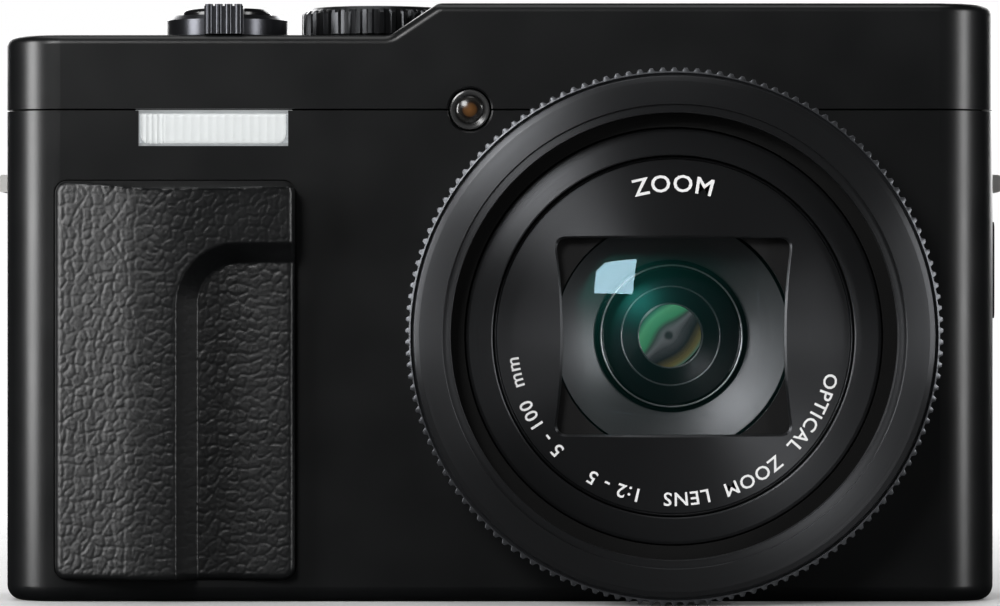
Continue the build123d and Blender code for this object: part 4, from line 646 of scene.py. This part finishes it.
def ring_print(name, text, radius, middle, cap, outward):
    """Printing bent round the lens: x along the text becomes an angle from its middle, and the letters'
    tops point away from the axis or towards it."""
    flat, faces = lettering(text, cap)
    turn = -1 if outward else 1
    angle = radians(middle) + turn * flat[:, 0] / radius
    reach = radius + (flat[:, 1] if outward else -flat[:, 1])
    points = np.stack([LENS_X + reach * np.cos(angle), NAME_FRONT - INK_T / 2 - flat[:, 2],
                       LENS_Z + reach * np.sin(angle)], axis=-1)
    ink = mesh_object(name, points, faces, "inner_barrel", white_ink)


ring_print("ring_print_top", "ZOOM", 16.2, 90, 1.95, True)
ring_print("ring_print_lower", "OPTICAL  ZOOM  LENS   1:2 - 5     5 - 100  mm", 17.5, -93, 1.55, True)

# ---------------------------------------------------------------- flash
# A clear ribbed acrylic window over a bright reflector with its glass tube. The ribs spread the
# light, and the reflector and tube carry a faint painted glow, so the window looks nearly white, with
# fine upright lines.
flash_low, flash_high = corners("flash_window")
flash_low, flash_high = flash_low + (0.15, 0, 0.15), flash_high - (0.15, 0, 0.25)
FLASH_STEPS = 240
FLASH_W = flash_high[0] - flash_low[0]
FLASH_H = flash_high[2] - flash_low[2]
FLASH_CORNER = 1.0
COARSE_SHARE = 0.16        # the coarse ribs' share of the width, at the left
COARSE_PITCH, FINE_PITCH = 0.62, 0.95
COARSE_DEPTH, FINE_DEPTH = 0.10, 0.035
# The window's face is a grid of shares across and up. Ribs are a rectified sine wave, the bottom
# corners are quarter circles, and the top and bottom edges lean back.
across = np.linspace(0, 1, FLASH_STEPS)
rib_pitch = np.where(across < COARSE_SHARE, COARSE_PITCH, FINE_PITCH)
rib_depth = np.where(across < COARSE_SHARE, COARSE_DEPTH, FINE_DEPTH)
ribs = rib_depth * np.abs(np.sin(pi * across * FLASH_W / rib_pitch))
levels = np.array([0.0, 0.03, 0.08, 0.16, 0.84, 0.92, 0.97, 1.0])
lift = np.clip(1 - np.minimum(across, 1 - across) / (FLASH_CORNER / FLASH_W), 0, 1)
bottom = (1 - np.sqrt(1 - lift ** 2)) * FLASH_CORNER
x = np.broadcast_to(flash_low[0] + across * FLASH_W, (len(levels), FLASH_STEPS))
z = flash_low[2] + bottom[None, :] + (FLASH_H - bottom[None, :]) * levels[:, None]
edge = np.minimum(levels, 1 - levels)[:, None]
y = flash_low[1] - 0.02 + 0.12 * np.clip(1 - edge / 0.06, 0, 1) + ribs[None, :]
front = np.stack([x, y, z], axis=-1)
back = np.stack([x[::-1], np.full_like(x, flash_high[1]), z[::-1]], axis=-1)
points = np.concatenate([front, back]).reshape(-1, 3)
faces = grid_faces(2 * len(levels), FLASH_STEPS, True, False).tolist()
for column in (0, FLASH_STEPS - 1):
    faces.append([row * FLASH_STEPS + column for row in range(2 * len(levels))])
# Injection-moulded acrylic: clear and glossy, and its ribs half hide what lies behind it.
material, tree, shader = new_material("clear_ribbed_acrylic")
shader.inputs["Base Color"].default_value = srgb("#f4f7f7")
shader.inputs["Roughness"].default_value = 0.16
shader.inputs["IOR"].default_value = 1.49
shader.inputs["Alpha"].default_value = 0.6
window = mesh_object("ribbed_flash_window", points, faces, "casing", material, sharp=60)
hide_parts("flash_window")
# Pressed aluminium, polished satin. It and the glass tube carry a faint painted glow, standing in for light
# gathered by its dish.
DAPPLE_MM = 2.5
material, tree, shader = new_material("satin_reflector_painted_glow")
place = add(tree, "ShaderNodeTexCoord").outputs["Object"]
dapple = add(tree, "ShaderNodeTexNoise", {"Vector": place, "Scale": 1 / (DAPPLE_MM * MM), "Detail": 2.0})
tone = add(tree, "ShaderNodeMix", {0: dapple.outputs[0], 6: srgb("#8f9395"), 7: srgb("#c0c4c6")},
           data_type="RGBA")
tree.links.new(tone.outputs[2], shader.inputs["Base Color"])
shader.inputs["Roughness"].default_value = 0.3
shader.inputs["Emission Color"].default_value = srgb("#f4f8fa")
shader.inputs["Emission Strength"].default_value = 0.25
dress(material, "flash_reflector", "flash_tube")

# ---------------------------------------------------------------- focus lamp
# A clear domed acrylic lens in a dished recess, over an amber lamp. Seen from the front it is
# dark at the edge and glows brown at the middle.
lamp_low, lamp_high = corners("focus_lamp")
LAMP_CENTRE = ((lamp_low[0] + lamp_high[0]) / 2, 0.0, (lamp_low[2] + lamp_high[2]) / 2)
LAMP_R = (lamp_high[0] - lamp_low[0]) / 2
lamp_front = lamp_low[1]
material, tree, shader = new_material("amber_lamp_under_acrylic")
arm, reach = from_axis(tree, LAMP_CENTRE)
share = add(tree, "ShaderNodeMapRange", {0: reach, 1: 0.0, 2: LAMP_R * MM})
ramp = add(tree, "ShaderNodeValToRGB", {0: share.outputs[0]})
colour_stops(ramp, ((0.0, "#6e4a28"), (0.26, "#573a1e"), (0.4, "#15110f"), (0.55, "#262523"),
                    (0.7, "#111111"), (0.84, "#3a3a3a")))
ramp.color_ramp.elements.remove(ramp.color_ramp.elements[-1])
tree.links.new(ramp.outputs[0], shader.inputs["Base Color"])
shader.inputs["Roughness"].default_value = 0.2
shader.inputs["Coat Weight"].default_value = 0.4
shader.inputs["Coat Roughness"].default_value = 0.14
DOME_R, DOME_FALL = LAMP_R - 0.85, 0.3
r = np.linspace(0, 1, 9)
dome = np.stack([r * DOME_R, lamp_front + DOME_FALL * r ** 2], axis=-1)
lamp_profile = np.concatenate([dome, [(LAMP_R - 0.78, lamp_front + 0.38), (LAMP_R - 0.26, lamp_front + 0.2),
                                      (LAMP_R - 0.1, lamp_front + 0.24), (LAMP_R, lamp_front + 0.5),
                                      (LAMP_R, lamp_high[1]), (0, lamp_high[1])]])
lamp = revolved("focus_lamp_lens", lamp_profile, "casing", material, LAMP_CENTRE, columns=72)
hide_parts("focus_lamp")


# ---------------------------------------------------------------- grip and thumb rest
# Moulded rubber with a leather grain of thin creases, stuck in a shallow pocket. The grip swells to
# a ridge for the fingers to pull against, with a scoop for their tips beside it.
def cells(x, z, size, seed):
    """Leather cells: how far each point is from the border between its two nearest jittered grid points,
    as a share of the cell size."""
    u, v = x / size, z / size
    iu, iv = np.floor(u), np.floor(v)
    near = []
    for du in (-1, 0, 1):
        for dv in (-1, 0, 1):
            gu, gv = iu + du, iv + dv
            hash_u = np.mod(np.sin(gu * 127.1 + gv * 311.7 + seed) * 43758.5453, 1.0)
            hash_v = np.mod(np.sin(gu * 269.5 + gv * 183.3 + seed) * 43758.5453, 1.0)
            near.append(np.hypot(gu + 0.1 + 0.8 * hash_u - u, gv + 0.1 + 0.8 * hash_v - v))
    near = np.sort(np.stack(near), axis=0)
    return near[1] - near[0]


def smooth_step(low, high, value):
    """A cubic ease from 0 at low to 1 at high."""
    t = np.clip((value - low) / (high - low), 0, 1)
    return t * t * (3 - 2 * t)


COARSE_CELL, FINE_CELL = 1.15, 0.62    # mm across a cell of the grain
PAD_ROLL = 0.75            # the rim's rounding
PAD_SINK = 0.35            # the pad's depth in its pocket


def leather_pad(name, low, high, plane_y, outward, height, corner_r, step, body, material, node):
    """A pad on a rounded rectangle: height(u, v) in mm stands off plane_y, the corners are squeezed on to
    arcs, the rim is rolled over, and two more rows close it behind. Two sizes of cells cut the grain
    into it, deeper in some places than in others."""
    width, tall = high[0] - low[0], high[2] - low[2]
    u = np.linspace(0, width, int(width / step))[None, :]
    v = np.linspace(0, tall, int(tall / step))[:, None]
    u, v = np.broadcast_arrays(u, v)
    du, dv = np.minimum(u, width - u), np.minimum(v, tall - v)
    a, b = np.maximum(corner_r - du, 0) / corner_r, np.maximum(corner_r - dv, 0) / corner_r
    a2, b2 = a * np.sqrt(1 - b ** 2 / 2), b * np.sqrt(1 - a ** 2 / 2)
    u = u + np.where(u < width / 2, 1, -1) * (a - a2) * corner_r
    v = v + np.where(v < tall / 2, 1, -1) * (b - b2) * corner_r
    inside = np.where((a > 0) & (b > 0), corner_r * (1 - np.hypot(a2, b2)), np.minimum(du, dv))
    inside = np.maximum(inside, 0)
    e = np.clip(1 - inside / PAD_ROLL, 0, 1)
    warp_u = u + 0.12 * np.sin(v * 2.9 + 1.4 * np.sin(u * 1.9))
    warp_v = v + 0.12 * np.sin(u * 2.3 + 1.7 * np.sin(v * 2.1))
    coarse = smooth_step(0.0, 0.24, cells(warp_u, warp_v * 0.9, COARSE_CELL, seed=4.2))
    fine = smooth_step(0.0, 0.34, cells(warp_u, warp_v, FINE_CELL, seed=9.1))
    uneven = 0.5 + 0.5 * np.sin(u * 0.9 + 1.3 * np.sin(v * 0.7)) * np.sin(v * 1.1 + 1.1 * np.sin(u * 0.6))
    grain = 0.06 * coarse * (0.6 + 0.4 * uneven) + 0.022 * fine
    h = height(u, v) + (grain - 0.08) * smooth_step(0.1, 0.7, inside) - PAD_ROLL * (1 - np.sqrt(1 - e ** 2))
    face = np.stack([low[0] + u, plane_y + outward * h, low[2] + v], axis=-1)
    sunk = plane_y - outward * PAD_SINK
    padded = np.pad(face, ((2, 2), (2, 2), (0, 0)), mode="edge")
    padded[[0, 1, -2, -1], :, 1] = sunk
    padded[:, [0, 1, -2, -1], 1] = sunk
    middle = np.array([(low[0] + high[0]) / 2, sunk, (low[2] + high[2]) / 2])
    padded[[0, -1], :] = middle
    padded[:, [0, -1]] = middle
    pad = mesh_object(name, padded.reshape(-1, 3), grid_faces(*padded.shape[:2]), body, material, sharp=75)
    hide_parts(node)


grip_low, grip_high = corners("grip_pad")
GRIP_STANDS = BODY_FRONT - grip_low[1]
GRIP_W = grip_high[0] - grip_low[0]
GRIP_H = grip_high[2] - grip_low[2]
RIDGE = 13.4               # from the left edge to the ridge
FLANK_W = 8.0
SCOOP_TOP = GRIP_H - 7.0
SCOOP_CORNER = 7.0
SCOOP_WALL = 2.2
VALLEY_START = 18.5
TAPER = 4.0                # rise per mm below the top edge


def grip_height(u, v):
    """The grip's height: a straight flank, a parabola over to the ridge, a slow fall beyond it, and a
    scoop with one round corner and a steep straight wall; the top end tapers down to the casing."""
    flank = (GRIP_STANDS - 1.0) / (RIDGE + FLANK_W) * 2
    near = np.clip(u, 0, RIDGE)
    rise = 0.95 + flank * (near - np.maximum(near - FLANK_W, 0) ** 2 / (2 * (RIDGE - FLANK_W)))
    fall = smooth_step(RIDGE, GRIP_W + 3.0, u)
    crest = rise * (1 - 0.2 * fall)
    valley = 0.85 + 1.0 * smooth_step(VALLEY_START, GRIP_W, u)
    side, under = u - (RIDGE + 0.5), SCOOP_TOP - v
    reach = np.hypot(np.maximum(SCOOP_CORNER - side, 0), np.maximum(SCOOP_CORNER - under, 0))
    scoop = np.clip((SCOOP_CORNER - reach) / SCOOP_WALL, 0, 1)
    h = crest * (1 - scoop) + valley * scoop
    taper = 1.2 + (GRIP_H - v) * TAPER
    return h - smooth_step(-0.8, 0.8, h - taper) * (h - taper)


rubber = coated("leather_grain_rubber", "#0a0b0c", "#101112", 0.37, 0.16, 0.015, patch_mm=5.0)
leather_pad("leather_grip", grip_low, grip_high, BODY_FRONT, -1, grip_height, 1.4, 0.155, "casing",
            rubber, "grip_pad")
thumb_low, thumb_high = corners("thumb_rest")
THUMB_W = thumb_high[0] - thumb_low[0]
THUMB_STANDS = thumb_high[1] - BODY_REAR


def thumb_height(u, v):
    """The thumb rest's height: a long ramp to a crest near its right end, then a short fall."""
    up = smooth_step(4.0, THUMB_W - 4.0, u)
    down = smooth_step(THUMB_W - 3.2, THUMB_W + 1.0, u)
    return 0.85 + (THUMB_STANDS - 0.9) * up * (1 - 0.6 * down)


leather_pad("leather_thumb_rest", thumb_low, thumb_high, BODY_REAR, 1, thumb_height, 2.0, 0.16, "casing",
            rubber, "thumb_rest")

# ---------------------------------------------------------------- top controls
# The mode dial and the zoom lever are turned and milled aluminium, anodised black; the shutter
# button and the two small buttons are gloss black mouldings.
dial_low, dial_high = corners("mode_dial")
DIAL_CENTRE = ((dial_low[0] + dial_high[0]) / 2, (dial_low[1] + dial_high[1]) / 2, 0.0)
DIAL_R = (dial_high[0] - dial_low[0]) / 2
SHOULDER = BODY_TOP - 3.6  # the lower deck that the dial and the button stand on
DIAL_RIBS = 40
RIB_DEPTH = 0.32
dial_top = dial_high[2]
dial_base = SHOULDER + 0.15
dial_metal = turned_metal("black_anodised_dial", "#3b3c3e", 0.32, 0.7, DIAL_CENTRE, (0, 0, 1))
DIAL_PIN_R = 2.0
DIAL_DISH = 0.06           # the printed face, below the rim
dial_profile = [(0, dial_low[2], 0), (DIAL_PIN_R, dial_low[2], 0), (DIAL_PIN_R, dial_base, 0),
                (DIAL_R - 0.5, dial_base, 0), (DIAL_R, dial_base + 0.25, RIB_DEPTH),
                (DIAL_R, dial_top - 0.75, RIB_DEPTH), (DIAL_R - 0.3, dial_top - 0.42, 0.1),
                (DIAL_R - 0.55, dial_top - 0.3, 0), (DIAL_R - 0.75, dial_top - 0.05, 0),
                (DIAL_R - 1.0, dial_top, 0), (DIAL_R - 1.4, dial_top, 0),
                (DIAL_R - 1.5, dial_top - DIAL_DISH, 0), (0, dial_top - DIAL_DISH, 0)]
mode_dial = revolved("ribbed_mode_dial", dial_profile, "mode_dial", dial_metal, DIAL_CENTRE, "z",
                     columns=DIAL_RIBS * 12, teeth=tooth_wave(DIAL_RIBS, 0.34, 0.16), sharp=35)
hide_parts("mode_dial")


def flat_print(name, text, cap, place, right, up, body):
    """Printing on a flat face: the text's x and y run along right and up from place, in mm."""
    flat, faces = lettering(text, cap)
    right, up = np.array(right, dtype=float), np.array(up, dtype=float)
    out = np.cross(right, up)
    points = np.array(place) + flat[:, :1] * right + flat[:, 1:2] * up + (flat[:, 2:3] + INK_T / 2) * out
    ink = mesh_object(name, points, faces, body, white_ink)


MODES = ["A", "1", "2", "3", "M", "4", "5", "6"]
MARK_R = 5.2
for k, mode in enumerate(MODES):
    turn = 2 * pi * k / len(MODES)
    spoke = np.array([-np.sin(turn), np.cos(turn), 0.0])
    side = np.array([np.cos(turn), np.sin(turn), 0.0])
    place = np.array(DIAL_CENTRE) + spoke * MARK_R + (0, 0, dial_top - DIAL_DISH)
    flat_print(f"dial_mark_{k}", mode, 1.5, place, side, spoke, "mode_dial")

button_low, button_high = corners("shutter_button")
BUTTON_CENTRE = ((button_low[0] + button_high[0]) / 2, (button_low[1] + button_high[1]) / 2, 0.0)
lever_metal = turned_metal("black_anodised_lever", "#45464a", 0.3, 0.6, BUTTON_CENTRE, (0, 0, 1))
dress(lever_metal, "zoom_lever")
gloss_abs = coated("gloss_black_abs", "#0d0d0f", "#121214", 0.2, 0.6, 0.004)
dress(gloss_abs, "shutter_button", "power_button", "movie_button")

# ---------------------------------------------------------------- rear controls
# Moulded buttons and a knurled control dial round the set button, with plain printed signs.
dress(gloss_abs, "set_button", "playback_button", "menu_button", "display_button", "delete_button")
control_low, control_high = corners("control_dial")
CONTROL_CENTRE = ((control_low[0] + control_high[0]) / 2, 0.0, (control_low[2] + control_high[2]) / 2)
CONTROL_R = (control_high[0] - control_low[0]) / 2
set_low, set_high = corners("set_button")
SET_R = (set_high[0] - set_low[0]) / 2
control_back = control_high[1]
control_profile = [(SET_R + 0.1, control_low[1], 0), (CONTROL_R, control_low[1], 0),
                   (CONTROL_R, BODY_REAR + 0.1, 0), (CONTROL_R, BODY_REAR + 0.2, 0.25),
                   (CONTROL_R - 0.1, control_back - 0.3, 0.25),
                   (CONTROL_R - 0.9, control_back, 0), (CONTROL_R - 2.0, control_back, 0),
                   (CONTROL_R - 2.3, control_back - 0.25, 0), (SET_R + 0.4, control_back - 0.25, 0),
                   (SET_R + 0.1, control_back - 0.45, 0)]
control = revolved("knurled_control_dial", control_profile, "control_dial", gloss_abs, CONTROL_CENTRE,
                   columns=720, teeth=tooth_wave(60))
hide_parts("control_dial")
SIGNS = [("playback_button", "play"), ("menu_button", "MENU"), ("display_button", "DISP"),
         ("delete_button", "DEL")]
REAR_RIGHT, UP = (-1, 0, 0), (0, 0, 1)
for node, sign in SIGNS:
    low, high = corners(node)
    place = ((low[0] + high[0]) / 2, BODY_REAR, high[2] + 0.7)
    flat_print(f"print_{node}", sign, 0.9, place, REAR_RIGHT, UP, "casing")
place = (CONTROL_CENTRE[0], set_high[1], CONTROL_CENTRE[2] - 0.55)
flat_print("print_set", "SET", 1.1, place, REAR_RIGHT, UP, "set_button")

# ---------------------------------------------------------------- screen
# A hard-coated cover glass over a black display panel, in a moulded frame that tilts up.
material, tree, shader = new_material("hard_coated_cover_glass")
shader.inputs["Base Color"].default_value = srgb("#05060a")
shader.inputs["Roughness"].default_value = 0.04
shader.inputs["IOR"].default_value = 1.52
shader.inputs["Alpha"].default_value = 0.6
shader.inputs["Coat Weight"].default_value = 1.0
dress(material, "lcd_glass")
dress(coated("display_panel", "#14171c", "#171b21", 0.25, 0.12, 0.001), "lcd_panel")
